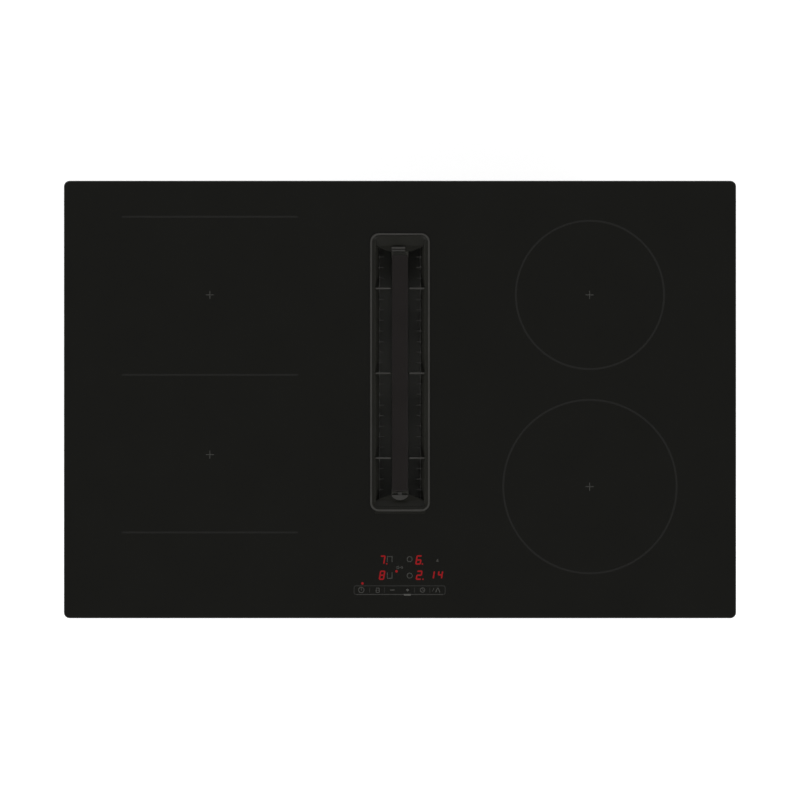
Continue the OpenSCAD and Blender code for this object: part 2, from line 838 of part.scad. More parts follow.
// Rounds the insert's inner corners, wider at the rim than below it
module round_void() {
    mid_x = inlet_w / 2 - inlet_corner;
    mid_y = rim_d / 2 - inlet_corner;
    rim_r = inlet_corner - rim_band;
    low_r = rim_r - shoulder_run;
    low_z = rim_top_z - shoulder_drop;
    foot_z = grille_foot_z - 2 * cut;
    translate([0, rim_shift, 0]) {
        for (sx = [-1, 1], sy = [-1, 1])
            translate([sx * mid_x, sy * mid_y, 0])
                rotate_extrude()
                    polygon([[0, foot_z], [low_r, foot_z], [low_r, low_z], [rim_r, rim_top_z],
                        [rim_r, rim_top_z + 2 * cut], [0, rim_top_z + 2 * cut]]);
        along_y(-mid_y, mid_y)
            funnel_profile(mid_x + low_r, mid_x + rim_r, foot_z, low_z);
        along_x(-mid_x, mid_x)
            funnel_profile(mid_y + low_r, mid_y + rim_r, foot_z, low_z);
    }
}

module funnel_profile(low, high, foot_z, low_z) {
    polygon([[-low, foot_z], [low, foot_z], [low, low_z], [high, rim_top_z],
        [high, rim_top_z + 2 * cut], [-high, rim_top_z + 2 * cut], [-high, rim_top_z], [-low, low_z]]);
}

// Outside of the insert below the glass, which follows the walls inwards
module tapered_side(half_top, half_foot) {
    polygon([[-half_foot, grille_foot_z], [half_foot, grille_foot_z], [half_top, 0],
        [half_top, glass_top_z], [-half_top, glass_top_z], [-half_top, 0]]);
}

module cross_rib() {
    reach = shoulder_x;
    inner = bar_w / 2 + bar_gap;
    along_y(-rib_t / 2, rib_t / 2)
        for (s = [0, 1])
            mirror([s, 0, 0])
                polygon([[0, rib_top_z - rib_h], [reach - rib_chamfer, rib_top_z - rib_h],
                    [reach, rib_top_z - rib_chamfer], [reach - rib_chamfer, rib_top_z],
                    [inner + rib_chamfer, rib_top_z], [inner, rib_top_z - rib_chamfer],
                    [inner, bar_foot_z], [0, bar_foot_z]]);
}

module tongue(s) {
    tip = slope_foot_y - tongue_run;
    translate([0, 0, slope_foot_z - tongue_t])
        linear_extrude(tongue_t)
            polygon([[-shoulder_x, s * slope_foot_y], [-shoulder_x, s * (slope_foot_y + grille_wall)],
                [shoulder_x, s * (slope_foot_y + grille_wall)], [shoulder_x, s * slope_foot_y],
                [tongue_tip_w / 2, s * tip], [-tongue_tip_w / 2, s * tip]]);
}

// Stepped edge at the rear end of the bar
module rear_tab() {
    tip = slope_foot_y - tongue_run;
    step = tab_run / 2;
    for (k = [0, 1])
        block(-rear_tab_w / 2 - rear_tab_shift, rear_tab_w / 2 - rear_tab_shift, tip + k * step,
            tip + (k + step_share) * step, slope_foot_z - tongue_t, slope_foot_z + tab_rise * (1 + k) / 2);
}

// Curved finger edge at the front end of the bar
module front_tab() {
    tip = slope_foot_y - tongue_run;
    intersection() {
        translate([0, tab_r - tip - tab_run, slope_foot_z - tongue_t])
            cylinder(h = tongue_t + tab_rise, r = tab_r);
        block(-tab_w / 2, tab_w / 2, -slope_foot_y, -tip, slope_foot_z - tongue_t,
            slope_foot_z + tab_rise);
    }
}

// Nib in front of the bar's end
module bar_nib() {
    tip = slope_foot_y - tongue_run;
    block(-nib_w / 2, nib_w / 2, -tip - tab_run / 2, -bar_d / 2 - bar_gap, slope_foot_z - tongue_t,
        slope_foot_z + nib_rise);
}

module fine_fins() {
    n = floor((slope_foot_y - fin_pitch / 2) / fin_pitch);
    for (s = [-1, 1], k = [-n : n])
        if (k % fins_per_rib != 0)
            block(s > 0 ? foot_x - fin_reach : -foot_x - grille_wall / 2,
                s > 0 ? foot_x + grille_wall / 2 : fin_reach - foot_x,
                k * fin_pitch - fin_t / 2, k * fin_pitch + fin_t / 2, grille_foot_z,
                grille_foot_z + fin_h);
}

module inlet_grille() {
    color("#2c2c2a")
        at_inlet() {
            difference() {
                union() {
                    translate([0, rim_shift, glass_top_z])
                        bevelled(inlet_w, rim_d, rim_h, inlet_corner, rim_bevel);
                    block(-lip_w / 2, lip_w / 2, -inlet_d / 2, inlet_corner - inlet_d / 2,
                        glass_top_z, glass_top_z + lip_h);
                    intersection() {
                        slab(body_w, body_d, opening_r - insert_gap, grille_foot_z, grille_depth);
                        along_y(-inlet_d / 2, inlet_d / 2)
                            tapered_side(body_w / 2, foot_x + grille_wall);
                        along_x(-inlet_w / 2, inlet_w / 2)
                            tapered_side(body_d / 2, slope_foot_y + grille_wall);
                    }
                }
                intersection() {
                    along_y(-inlet_d / 2, inlet_d / 2)
                        side_void();
                    along_x(-inlet_w / 2, inlet_w / 2)
                        end_void();
                    round_void();
                }
            }
            for (k = [-1, 0, 1])
                translate([0, k * rib_pitch, 0])
                    cross_rib();
            tongue(1);
            tongue(-1);
            rear_tab();
            front_tab();
            bar_nib();
            fine_fins();
        }
}

module centre_bar() {
    color("#22211f")
        at_inlet()
            intersection() {
                along_y(-bar_d / 2, bar_d / 2)
                    translate([0, bar_foot_z])
                        bevel_profile(bar_w, bar_t, bar_chamfer);
                along_x(-bar_w / 2, bar_w / 2)
                    translate([0, bar_foot_z])
                        bevel_profile(bar_d, bar_t, bar_chamfer);
            }
}

module filter_frame() {
    bay = (filter_in_d - 2 * filter_corner) / 4;
    slot_x = filter_w * slot_place_share;
    color("#34353a")
        at_inlet()
            difference() {
                slab(filter_w, filter_d, filter_corner, filter_foot_z, filter_h);
                slab(filter_in_w, filter_in_d, filter_corner - filter_wall,
                    filter_foot_z + filter_wall, filter_h);
                for (k = [-1.5 : 1.5])
                    block(-filter_w, filter_w, k * bay - (bay - filter_post) / 2,
                        k * bay + (bay - filter_post) / 2, filter_foot_z + filter_rail,
                        filter_top_z - filter_rail);
                for (k = [-1.5 : 1.5], j = [-1, 1])
                    block(j * slot_x - drain_slot / 2, j * slot_x + drain_slot / 2,
                        k * bay - (bay - filter_post) / 2, k * bay + (bay - filter_post) / 2,
                        filter_foot_z - cut, filter_foot_z + filter_wall + cut);
            }
}

// Metal mesh cassette on side s
module filter_mesh(s) {
    outer = filter_in_w / 2 - mesh_gap;
    color("#a9adb0")
        at_inlet()
            block(min(s * outer, s * (outer - mesh_t)), max(s * outer, s * (outer - mesh_t)),
                -mesh_d / 2, mesh_d / 2, filter_foot_z + filter_wall,
                filter_foot_z + filter_wall + mesh_h);
}

module filter_mesh_left() {
    filter_mesh(-1);
}

module filter_mesh_right() {
    filter_mesh(1);
}

module drip_tray() {
    color("#2f3033")
        at_inlet()
            difference() {
                slab(filter_w, filter_d, filter_corner, drip_foot_z, drip_h);
                slab(filter_w - 2 * drip_wall, filter_d - 2 * drip_wall, filter_corner - drip_wall,
                    drip_foot_z + drip_wall, drip_h);
            }
}

// Flat winding: half turns about two centres, half a pitch apart, meet end to end
module winding(k) {
    turns = floor((coil_radii[k] - coil_hole_r - wire_w) / coil_pitch);
    color("#b26a3c")
        translate([zone_places[k][0], zone_places[k][1], coil_foot_z])
            for (h = [0 : 2 * turns - 1])
                translate([h % 2 == 1 ? coil_pitch / 2 : 0, 0, 0])
                    rotate([0, 0, h % 2 == 1 ? 180 : 0])
                        rotate_extrude(angle = 180)
                            translate([coil_hole_r + h * coil_pitch / 2, 0])
                                square([wire_w, wire_h]);
}

module coil_left_rear() {
    winding(0);
}

module coil_left_front() {
    winding(1);
}

module coil_right_rear() {
    winding(2);
}

module coil_right_front() {
    winding(3);
}

module at_zones() {
    for (k = [0 : 3])
        translate([zone_places[k][0], zone_places[k][1], 0]) {
            $coil_r = coil_radii[k];
            children();
        }
}

module coil_carriers() {
    color("#d9d4c4")
        at_zones()
            tube($coil_r + carrier_margin, sensor_r / 2, carrier_foot_z, coil_foot_z);
}

module ferrite_bars() {
    color("#3c3f44")
        at_zones()
            for (k = [0 : ferrite_count - 1])
                rotate([0, 0, k * 360 / ferrite_count])
                    block(coil_hole_r, $coil_r - carrier_margin, -ferrite_w / 2, ferrite_w / 2,
                        carrier_foot_z - ferrite_t, carrier_foot_z);
}

module mica_discs() {
    color("#c9bfa6")
        at_zones()
            tube($coil_r, sensor_r + carrier_margin, coil_top_z, seal_t);
}

module temperature_sensors() {
    color("#d8d8d8")
        at_zones()
            rod(sensor_r, coil_foot_z, seal_t);
}

module coil_supports() {
    color("#b5563c")
        at_zones()
            for (k = [0 : supports_per_coil - 1])
                rotate([0, 0, (floor(k * ferrite_count / supports_per_coil) + 0.5) * 360 / ferrite_count])
                    translate([$coil_r * support_place_share, 0, 0])
                        rod(support_r, shield_top_z, carrier_foot_z);
}

// Aluminium sheet over the boards with a leg along each side
module shield(s) {
    x0 = min(s * shield_x, s * (shield_x + shield_w));
    x1 = max(s * shield_x, s * (shield_x + shield_w));
    color("#c4c8cb") {
        block(x0, x1, shield_y - shield_d / 2, shield_y + shield_d / 2, shield_top_z - shield_t,
            shield_top_z);
        for (x = [x0, x1 - shield_t])
            block(x, x + shield_t, shield_y - shield_d / 2, shield_y + shield_d / 2, floor_z,
                shield_top_z);
    }
}

module shield_left() {
    shield(-1);
}

module shield_right() {
    shield(1);
}

module board(x, y, w, d) {
    color("#2f6b3a")
        block(x - w / 2, x + w / 2, y - d / 2, y + d / 2, board_z, board_top_z);
}

module power_board_left() {
    board(-board_x, board_y, board_w, board_d);
}

module power_board_right() {
    board(board_x, board_y, board_w, board_d);
}

module mains_board() {
    board(mains_x, mains_y, mains_w, mains_d);
}

module spacers(x, y, w, d) {
    for (sx = [-1, 1], sy = [-1, 1])
        translate([x + sx * (w / 2 - spacer_inset), y + sy * (d / 2 - spacer_inset), 0])
            rod(spacer_r, floor_z, board_z);
}

module board_spacers() {
    color("#e6e2d4") {
        spacers(-board_x, board_y, board_w, board_d);
        spacers(board_x, board_y, board_w, board_d);
        spacers(mains_x, mains_y, mains_w, mains_d);
    }
}

module heat_sink(s) {
    step = (sink_w - sink_fin_t) / (sink_fins - 1);
    color("#9ea3a7")
        translate([s * sink_x, board_y, board_top_z]) {
            block(-sink_w / 2, sink_w / 2, -sink_d / 2, sink_d / 2, 0, sink_base);
            for (k = [0 : sink_fins - 1])
                block(k * step - sink_w / 2, k * step - sink_w / 2 + sink_fin_t, -sink_d / 2,
                    sink_d / 2, 0, sink_h);
        }
}

module heat_sink_left() {
    heat_sink(-1);
}

module heat_sink_right() {
    heat_sink(1);
}

module power_transistors() {
    color("#1d1d1f")
        for (s = [-1, 1], k = [-1.5 : 1.5])
            translate([s * (transistor_x + transistor_t / 2), board_y + k * sink_d / 4, board_top_z])
                block(-transistor_t / 2, transistor_t / 2, -transistor_w / 2, transistor_w / 2, 0,
                    transistor_h);
}

module board_capacitors() {
    color("#c8a23c")
        for (s = [-1, 1], k = [-1.5 : 1.5])
            translate([s * capacitor_x, board_y + k * 2 * capacitor_d, board_top_z])
                block(-capacitor_w / 2, capacitor_w / 2, -capacitor_d / 2, capacitor_d / 2, 0,
                    capacitor_h);
}

// Housing of a radial blower: open towards the heat sink, with its intake in the floor
module cooler_housing(s) {
    inner = cooler_side - 2 * cooler_wall;
    top = floor_z + cooler_h;
    color("#242427")
        translate([s * cooler_x, -cooler_y, 0]) {
            difference() {
                block(-cooler_side / 2, cooler_side / 2, -cooler_side / 2, cooler_side / 2, floor_z, top);
                block(-inner / 2, inner / 2, -inner / 2, inner / 2, floor_z + cooler_wall,
                    top - cooler_wall);
                rod(cooler_r - 2 * cooler_wall, floor_z - cut, floor_z + cooler_wall + cut);
                block(-inner / 3, inner / 3, 0, cooler_side, floor_z + 2 * cooler_wall,
                    top - 2 * cooler_wall);
            }
            rod(cooler_pin_r, floor_z + 2 * cooler_wall, top - cooler_wall / 2);
        }
}

module cooling_fan_housing_left() {
    cooler_housing(-1);
}

module cooling_fan_housing_right() {
    cooler_housing(1);
}

module cooler_rotor(s) {
    z0 = floor_z + 2 * cooler_wall;
    z1 = floor_z + cooler_h - 2 * cooler_wall;
    color("#3b3b40")
        translate([s * cooler_x, -cooler_y, 0]) {
            tube(cooler_r / 3, cooler_pin_r + running_gap, z0, z1);
            tube(cooler_r, cooler_pin_r + running_gap, z1 - cooler_wall, z1);
            for (k = [0 : cooler_blades - 1])
                rotate([0, 0, k * 360 / cooler_blades])
                    block(cooler_r * cooler_blade_shares[0], cooler_r * cooler_blade_shares[1],
                        -cooler_wall / 2, cooler_wall / 2, z0, z1);
        }
}

module cooling_fan_rotor_left() {
    cooler_rotor(-1);
}

module cooling_fan_rotor_right() {
    cooler_rotor(1);
}

module terminal_block() {
    gap = terminal_w / 5;
    color("#e4e2da")
        difference() {
            block(terminal_x - terminal_w / 2, terminal_x + terminal_w / 2, mains_y - terminal_d / 2,
                mains_y + terminal_d / 2, floor_z, floor_z + terminal_h);
            for (k = [-1.5 : 1.5])
                translate([terminal_x + k * gap, mains_y, 0])
                    rod(gap / 3, floor_z + terminal_h / 2, floor_z + terminal_h + cut);
        }
}

// Gland in the tray's floor for the supply cable, which leaves downwards
module cable_gland() {
    color("#3d3d40")
        translate([terminal_x, gland_y, 0])
            difference() {
                union() {
                    rod(gland_thread_r, -tray_h - cut, floor_z + spacer_h);
                    translate([0, 0, -tray_h - gland_collar_h])
                        cylinder(h = gland_collar_h, r = gland_collar_r, $fn = 6);
                    translate([0, 0, floor_z])
                        cylinder(h = spacer_h / 2, r = gland_collar_r, $fn = 6);
                }
                rod(gland_bore_r, -tray_h - gland_collar_h - cut, floor_z + spacer_h + cut);
            }
}

module touch_board() {
    color("#1f4d2c")
        block(-touch_w / 2, touch_w / 2, -touch_y - touch_d / 2, touch_d / 2 - touch_y, touch_foot_z,
            touch_top_z);
}

// Digits stand in two rows of two, the lower right one two digits wide
module display_modules() {
    color("#3a1212")
        for (sx = [-1, 1], row = [0, 1])
            translate([sx * (digit_w + holder_margin),
                touch_d / 2 - touch_y - digit_d / 2 - row * (digit_d + holder_t), 0])
                block(-digit_w / 2, digit_w / 2 + (sx > 0 && row > 0 ? digit_w : 0), -digit_d / 2,
                    digit_d / 2, touch_top_z, seal_t);
}

module touch_springs() {
    color("#c9ccd0")
        for (k = [-2.5 : 2.5])
            translate([k * touch_pitch, -touch_bar_y, 0])
                rod(touch_spring_r, touch_top_z, seal_t);
}

module control_holder() {
    hw = touch_w / 2 + holder_margin;
    hd = touch_d / 2 + holder_margin;
    color("#dcd9cf") {
        block(-hw, hw, -touch_y - hd, hd - touch_y, touch_foot_z - holder_t, touch_foot_z);
        for (sx = [-1, 1], sy = [-1, 1])
            translate([sx * (hw - holder_leg_r), sy * (hd - holder_leg_r) - touch_y, 0])
                rod(holder_leg_r, floor_z, touch_foot_z - holder_t / 2);
    }
}

module at_ears() {
    for (s = [-1, 1], share = ear_y_shares)
        translate([module_x + s * module_w / 2, module_y + share * module_d, 0])
            rotate([0, 0, s > 0 ? 0 : 180])
                translate([ear_r, 0, 0])
                    children();
}

module ear(z0, z1) {
    rod(ear_r, z0, z1);
    block(-ear_r - case_wall / 2, 0, -ear_r, ear_r, z0, z1);
}

module at_module_screws() {
    for (sx = [-1, 1], sy = [-1, 1])
        translate([module_x + sx * (module_w / 2 - module_screw_inset),
            module_y + sy * (module_d / 2 - module_screw_inset), 0])
            children();
}

module module_upper_casing() {
    boss_h = 2 * ear_t;
    color("#2a2b2e")
        difference() {
            union() {
                at_module()
                    difference() {
                        slab(module_w, module_d, case_corner, deck_top_z, plenum_h);
                        slab(module_w - 2 * case_wall, module_d - 2 * case_wall,
                            case_corner - case_wall, deck_top_z - cut, plenum_h + cut - case_wall);
                    }
                at_module_screws()
                    rod(case_screw_head_r + case_screw_r, module_top_z - boss_h,
                        module_top_z - case_wall / 2);
                at_ears()
                    ear(deck_top_z, deck_top_z + ear_t);
            }
            at_inlet()
                slab(shaft_out_w + 2 * shaft_gap, shaft_out_d + 2 * shaft_gap,
                    shaft_corner + shaft_wall + shaft_gap, module_top_z - case_wall - cut,
                    case_wall + 2 * cut);
            at_module_screws()
                rod(case_screw_r + running_gap, module_top_z - boss_h - cut, module_top_z + cut);
            at_ears()
                rod(case_screw_r + running_gap, deck_top_z - cut, deck_top_z + ear_t + cut);
        }
}

module module_screws() {
    color("#b8bcc0")
        at_module_screws() {
            rod(case_screw_r, module_top_z - 2 * ear_t + case_screw_r, floor_z + case_screw_head_h / 2);
            rod(case_screw_head_r, floor_z, floor_z + case_screw_head_h);
        }
}

module casing_screws() {
    color("#b8bcc0")
        at_ears() {
            rod(case_screw_r, deck_foot_z - ear_t, deck_top_z + ear_t);
            rod(case_screw_head_r, deck_foot_z - ear_t - case_screw_head_h, deck_foot_z - ear_t);
        }
}

// Deck between the casings: it holds the fan's inlet and carries the drip tray
module fan_deck() {
    drain_w = filter_w * drain_shares[0];
    drain_d = container_d * drain_shares[1];
    color("#34363a")
        difference() {
            union() {
                at_module()
                    slab(module_w, module_d, case_corner, deck_foot_z, case_wall);
                at_ears()
                    ear(deck_foot_z, deck_top_z);
                at_fan()
                    rod(eye_r + case_wall, deck_foot_z - eye_lip_h, deck_top_z);
                at_inlet()
                    for (k = [-1, 1])
                        block(-filter_w / 2, filter_w / 2, k * rib_pitch - filter_wall,
                            k * rib_pitch + filter_wall, deck_top_z - case_wall / 2, drip_foot_z);
            }
            at_fan()
                rod(eye_r, deck_foot_z - eye_lip_h - cut, deck_top_z + cut);
            block(-container_x - drain_w / 2, drain_w / 2 - container_x, container_mid_y - drain_d / 2,
                container_mid_y + drain_d / 2, deck_foot_z - cut, deck_top_z + cut);
            at_ears()
                rod(case_screw_r + running_gap, deck_foot_z - cut, deck_top_z + cut);
        }
}

// Recessed fields in the module's underside, with a round one below the motor
module base_fields() {
    inner_w = module_w - 2 * case_corner;
    inner_d = module_d - 2 * case_corner;
    pitch_x = (inner_w + field_rib) / fields_x;
    pitch_y = (inner_d + field_rib) / fields_y;
    disc_r = mount_r + field_rib;
    difference() {
        at_module()
            for (i = [0 : fields_x - 1], j = [0 : fields_y - 1])
                translate([(i - (fields_x - 1) / 2) * pitch_x, (j - (fields_y - 1) / 2) * pitch_y, 0])
                    slab(pitch_x - field_rib, pitch_y - field_rib, field_corner, base_z - cut,
                        field_depth + cut);
        at_fan()
            rod(disc_r, base_z - 2 * cut, base_top_z);
    }
    at_fan()
        rod(mount_r, base_z - cut, base_z + field_depth);
}

module module_lower_casing() {
    window_w = container_w + 2 * window_gap;
    guide_x = window_w / 2;
    color("#2a2b2e")
        difference() {
            union() {
                at_module()
                    difference() {
                        slab(module_w, module_d, case_corner, base_z, deck_foot_z - base_z);
                        slab(module_w - 2 * case_wall, module_d - 2 * case_wall,
                            case_corner - case_wall, base_top_z, deck_foot_z - base_z);
                    }
                for (s = [-1, 1]) {
                    block(s * container_w / 3 - container_x - case_wall,
                        s * container_w / 3 - container_x + case_wall,
                        module_front + case_wall / 2, panel_y + container_d, base_top_z - case_wall / 2,
                        container_foot_z);
                    block(min(s * guide_x, s * (guide_x + case_wall)) - container_x,
                        max(s * guide_x, s * (guide_x + case_wall)) - container_x,
                        module_front + case_wall / 2, panel_y + container_d, base_top_z - case_wall / 2,
                        container_foot_z + runner_h);
                }
                at_ears()
                    ear(deck_foot_z - ear_t, deck_foot_z);
            }
            block(-container_x - window_w / 2, window_w / 2 - container_x, module_front - cut,
                module_front + case_wall + cut, container_foot_z, container_top_z + window_gap);
            translate([duct_x, 0, duct_z])
                block(duct_wall - duct_w / 2, duct_w / 2 - duct_wall, module_rear - case_wall - cut,
                    module_rear + cut, duct_wall - duct_h / 2, duct_h / 2 - duct_wall);
            at_ears()
                rod(case_screw_r + running_gap, deck_foot_z - ear_t - cut, deck_foot_z + cut);
            base_fields();
        }
}

function polar(r, a) = [r * cos(a), r * sin(a)];

// Band of thickness t along a line of points
function normal_at(p, i) = let (
    a = p[max(i - 1, 0)],
    b = p[min(i + 1, len(p) - 1)],
    d = (b - a) / norm(b - a)) [-d[1], d[0]];
function band_points(p, t) = concat(
    [for (i = [0 : len(p) - 1]) p[i] + normal_at(p, i) * t / 2],
    [for (i = [len(p) - 1 : -1 : 0]) p[i] - normal_at(p, i) * t / 2]);

// Line from a to b that leaves and arrives along Y, with a short straight end
function swing(a, b) = concat(
    [for (k = [1 : swing_steps]) let (t = k / swing_steps, f = 3 * t * t - 2 * t * t * t)
        [a[0] + (b[0] - a[0]) * f, a[1] + (b[1] - scroll_wall_t - a[1]) * t]],
    [b]);

// The scroll opens from the tongue round to the duct, and curved walls lead on to the duct's two sides
module scroll_wall() {
    rear = module_rear - case_wall + fan_y;
    half = duct_w / 2 - duct_wall + scroll_wall_t / 2;
    tip = polar(scroll_r0, tongue_angle);
    turn = 360 - tongue_angle;
    spiral = [for (k = [0 : spiral_steps]) let (t = k / spiral_steps)
        polar(scroll_r0 + scroll_growth * t, tongue_angle + turn * t)];
    right = swing([scroll_r1, 0], [duct_x - fan_x + half, rear]);
    left = concat([tip - [0, scroll_wall_t], tip], swing(tip, [duct_x - fan_x - half, rear]));
    color("#3a3c40")
        at_fan()
            translate([0, 0, base_top_z])
                linear_extrude(deck_foot_z - base_top_z) {
                    polygon(band_points(concat(spiral, right), scroll_wall_t));
                    polygon(band_points(left, scroll_wall_t));
                }
}

module impeller() {
    ring_in = impeller_r - blade_ring;
    cup_r = ring_in - blade_ring / 2;
    color("#4a4c50")
        at_fan() {
            tube(impeller_r, cup_r - impeller_disc_t, impeller_foot_z, impeller_foot_z + impeller_disc_t);
            tube(cup_r, cup_r - impeller_disc_t, impeller_foot_z, rotor_top_z + impeller_disc_t);
            tube(cup_r, shaft_r + rotor_wall, rotor_top_z, rotor_top_z + impeller_disc_t);
            tube(impeller_r, ring_in, blade_top_z - impeller_disc_t, blade_top_z);
            for (k = [0 : blade_count - 1])
                rotate([0, 0, k * 360 / blade_count])
                    translate([ring_in + blade_t, 0, impeller_foot_z])
                        rotate([0, 0, blade_angle])
                            block(0, blade_ring * blade_share, -blade_t / 2, blade_t / 2, 0, impeller_h);
        }
}

module motor_rotor() {
    r_in = stator_r + air_gap;
    r_out = r_in + rotor_wall;
    color("#8a8d91")
        at_fan()
            difference() {
                rod(r_out, stator_z, rotor_top_z);
                rod(r_in, stator_z - cut, rotor_top_z - rotor_wall);
                rod(shaft_r, stator_z, rotor_top_z + cut);
            }
}

module motor_stator() {
    color("#9c5f35")
        at_fan()
            difference() {
                tube(stator_r, bearing_tube_r + mesh_gap, stator_z, stator_z + stator_h);
                for (k = [0 : stator_slots - 1])
                    rotate([0, 0, k * 360 / stator_slots])
                        block(stator_r * stator_slot_shares[0], stator_r * stator_slot_shares[1],
                            -rotor_wall / 2, rotor_wall / 2, stator_z - cut, stator_z + stator_h + cut);
            }
}

module motor_shaft() {
    color("#c9ccd0")
        at_fan()
            rod(shaft_r, mount_top_z + air_gap, rotor_top_z + impeller_disc_t / 2);
}

module motor_bearings() {
    top = stator_z + stator_h;
    color("#aeb2b6")
        at_fan()
            for (z = [mount_top_z + case_wall, top - bearing_h])
                tube(bearing_r - running_gap, shaft_r + running_gap, z, z + bearing_h);
}

// Plate on rubber bushes, with the tube that holds the bearings
module motor_mount() {
    top = stator_z + stator_h;
    color("#7b7f84")
        at_fan()
            difference() {
                union() {
                    rod(mount_r, mount_z, mount_top_z);
                    rod(stator_r / 2, mount_top_z - case_wall / 2, stator_z);
                    rod(bearing_tube_r, mount_top_z - case_wall / 2, top);
                }
                rod(bearing_r, mount_top_z, top + cut);
            }
}

module motor_bushes() {
    color("#1b1b1b")
        at_fan()
            for (k = [0 : bush_count - 1])
                rotate([0, 0, (k + 0.5) * 360 / bush_count])
                    translate([mount_r - bush_r, 0, 0])
                        rod(bush_r, base_top_z, mount_z);
}

module duct_connector() {
    flange_w = duct_w + 2 * duct_margin;
    flange_h = duct_h + 2 * duct_margin;
    color("#313338")
        translate([duct_x, module_rear, duct_z])
            difference() {
                union() {
                    block(-flange_w / 2, flange_w / 2, 0, duct_wall, -flange_h / 2, flange_h / 2);
                    block(-duct_w / 2, duct_w / 2, 0, duct_wall + duct_len, -duct_h / 2, duct_h / 2);
                }
                block(duct_wall - duct_w / 2, duct_w / 2 - duct_wall, -cut, duct_wall + duct_len + cut,
                    duct_wall - duct_h / 2, duct_h / 2 - duct_wall);
            }
}

module overflow_container() {
    half = container_w / 2;
    pm = half + panel_margin;
    grip_z = (container_foot_z + container_top_z) / 2;
    color("#b9bcc0")
        translate([-container_x, 0, 0]) {
            difference() {
                block(-half, half, panel_y - panel_t / 2, panel_y + container_d, container_foot_z,
                    container_top_z);
                block(container_wall - half, half - container_wall, panel_y + container_wall,
                    panel_y + container_d - container_wall, container_foot_z + container_wall,
                    container_top_z + cut);
            }
            block(-pm, pm, panel_y - panel_t, panel_y, container_foot_z - panel_margin,
                container_top_z + panel_margin);
            block(-grip_w / 2, grip_w / 2, panel_y - panel_t - grip_run, panel_y - panel_t / 2,
                grip_z - grip_h / 2, grip_z + grip_h / 2);
        }
}

module container_seal() {
    wx = container_w / 2 + window_gap;
    px = container_w / 2 + panel_margin - window_gap;
    color("#1b1b1b")
        translate([-container_x, 0, 0])
            difference() {
                block(-px, px, panel_y, module_front, container_foot_z - panel_margin + window_gap,
                    container_top_z + panel_margin - window_gap);
                block(-wx, wx, panel_y - cut, module_front + cut, container_foot_z - window_gap,
                    container_top_z + window_gap);
            }
}

glass_top();
worktop_seal();
glass_adhesive();
support_frame();
base_tray();
tray_screws();
inlet_gasket();
inlet_shaft();
inlet_grille();
centre_bar();
filter_frame();
filter_mesh_left();
filter_mesh_right();
drip_tray();
coil_left_rear();
coil_left_front();
coil_right_rear();
coil_right_front();
coil_carriers();
ferrite_bars();
mica_discs();
temperature_sensors();
coil_supports();
shield_left();
shield_right();
power_board_left();
power_board_right();
heat_sink_left();
heat_sink_right();
power_transistors();
board_capacitors();
board_spacers();
cooling_fan_housing_left();
cooling_fan_housing_right();
cooling_fan_rotor_left();
cooling_fan_rotor_right();
mains_board();
terminal_block();
cable_gland();
touch_board();
display_modules();
touch_springs();
control_holder();
module_upper_casing();
module_lower_casing();
fan_deck();
scroll_wall();
impeller();
motor_rotor();
motor_stator();
motor_shaft();
motor_bearings();
motor_mount();
motor_bushes();
casing_screws();
module_screws();
duct_connector();
overflow_container();
container_seal();
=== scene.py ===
import json
import math

import bmesh
import bpy
from mathutils import Matrix, Vector
from mathutils.bvhtree import BVHTree


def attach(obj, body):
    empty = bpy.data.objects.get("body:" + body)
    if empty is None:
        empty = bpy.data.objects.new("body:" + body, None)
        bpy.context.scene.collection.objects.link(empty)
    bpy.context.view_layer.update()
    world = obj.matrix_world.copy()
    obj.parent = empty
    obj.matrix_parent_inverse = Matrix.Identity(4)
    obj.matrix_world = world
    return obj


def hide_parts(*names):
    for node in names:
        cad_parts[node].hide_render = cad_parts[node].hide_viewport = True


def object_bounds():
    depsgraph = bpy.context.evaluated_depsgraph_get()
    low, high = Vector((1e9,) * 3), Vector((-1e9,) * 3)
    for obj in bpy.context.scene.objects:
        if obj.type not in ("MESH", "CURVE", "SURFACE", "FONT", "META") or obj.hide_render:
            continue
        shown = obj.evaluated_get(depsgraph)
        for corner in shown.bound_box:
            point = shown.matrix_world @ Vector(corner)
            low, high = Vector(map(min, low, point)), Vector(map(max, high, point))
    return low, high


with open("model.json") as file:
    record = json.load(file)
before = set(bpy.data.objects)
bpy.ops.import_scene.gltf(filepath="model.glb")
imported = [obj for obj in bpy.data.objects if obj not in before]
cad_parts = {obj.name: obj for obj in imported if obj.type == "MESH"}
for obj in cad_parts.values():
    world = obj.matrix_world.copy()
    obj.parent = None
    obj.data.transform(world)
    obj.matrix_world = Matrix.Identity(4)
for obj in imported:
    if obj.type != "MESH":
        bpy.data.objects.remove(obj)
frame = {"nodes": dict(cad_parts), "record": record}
nodes = frame["nodes"]
cadLow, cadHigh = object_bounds()
scene = bpy.context.scene
mm = 0.001
bodyOf = {part: name for name, parts in frame["record"]["behaviour"]["bodies"].items() for part in parts}
slotOf = {part["node"]: part["material_slot"] for part in frame["record"]["subparts"]}
print("frame:", len(nodes), "parts")


def linear(colour):
    # an sRGB hex colour as the linear values that a shader takes
    parts = [int(colour[i:i + 2], 16) / 255 for i in (1, 3, 5)]
    return [p / 12.92 if p <= 0.04045 else ((p + 0.055) / 1.055) ** 2.4 for p in parts] + [1.0]


def add(tree, kind, settings=None, links=None):
    # adds one node; a setting or link named by a number is that input in the node's list
    node = tree.nodes.new("ShaderNode" + kind)
    for key, value in (settings or {}).items():
        if isinstance(key, int) or key in node.inputs:
            node.inputs[key].default_value = value
        else:
            setattr(node, key, value)
    for key, socket in (links or {}).items():
        tree.links.new(socket, node.inputs[key])
    return node


# camera, light and floor

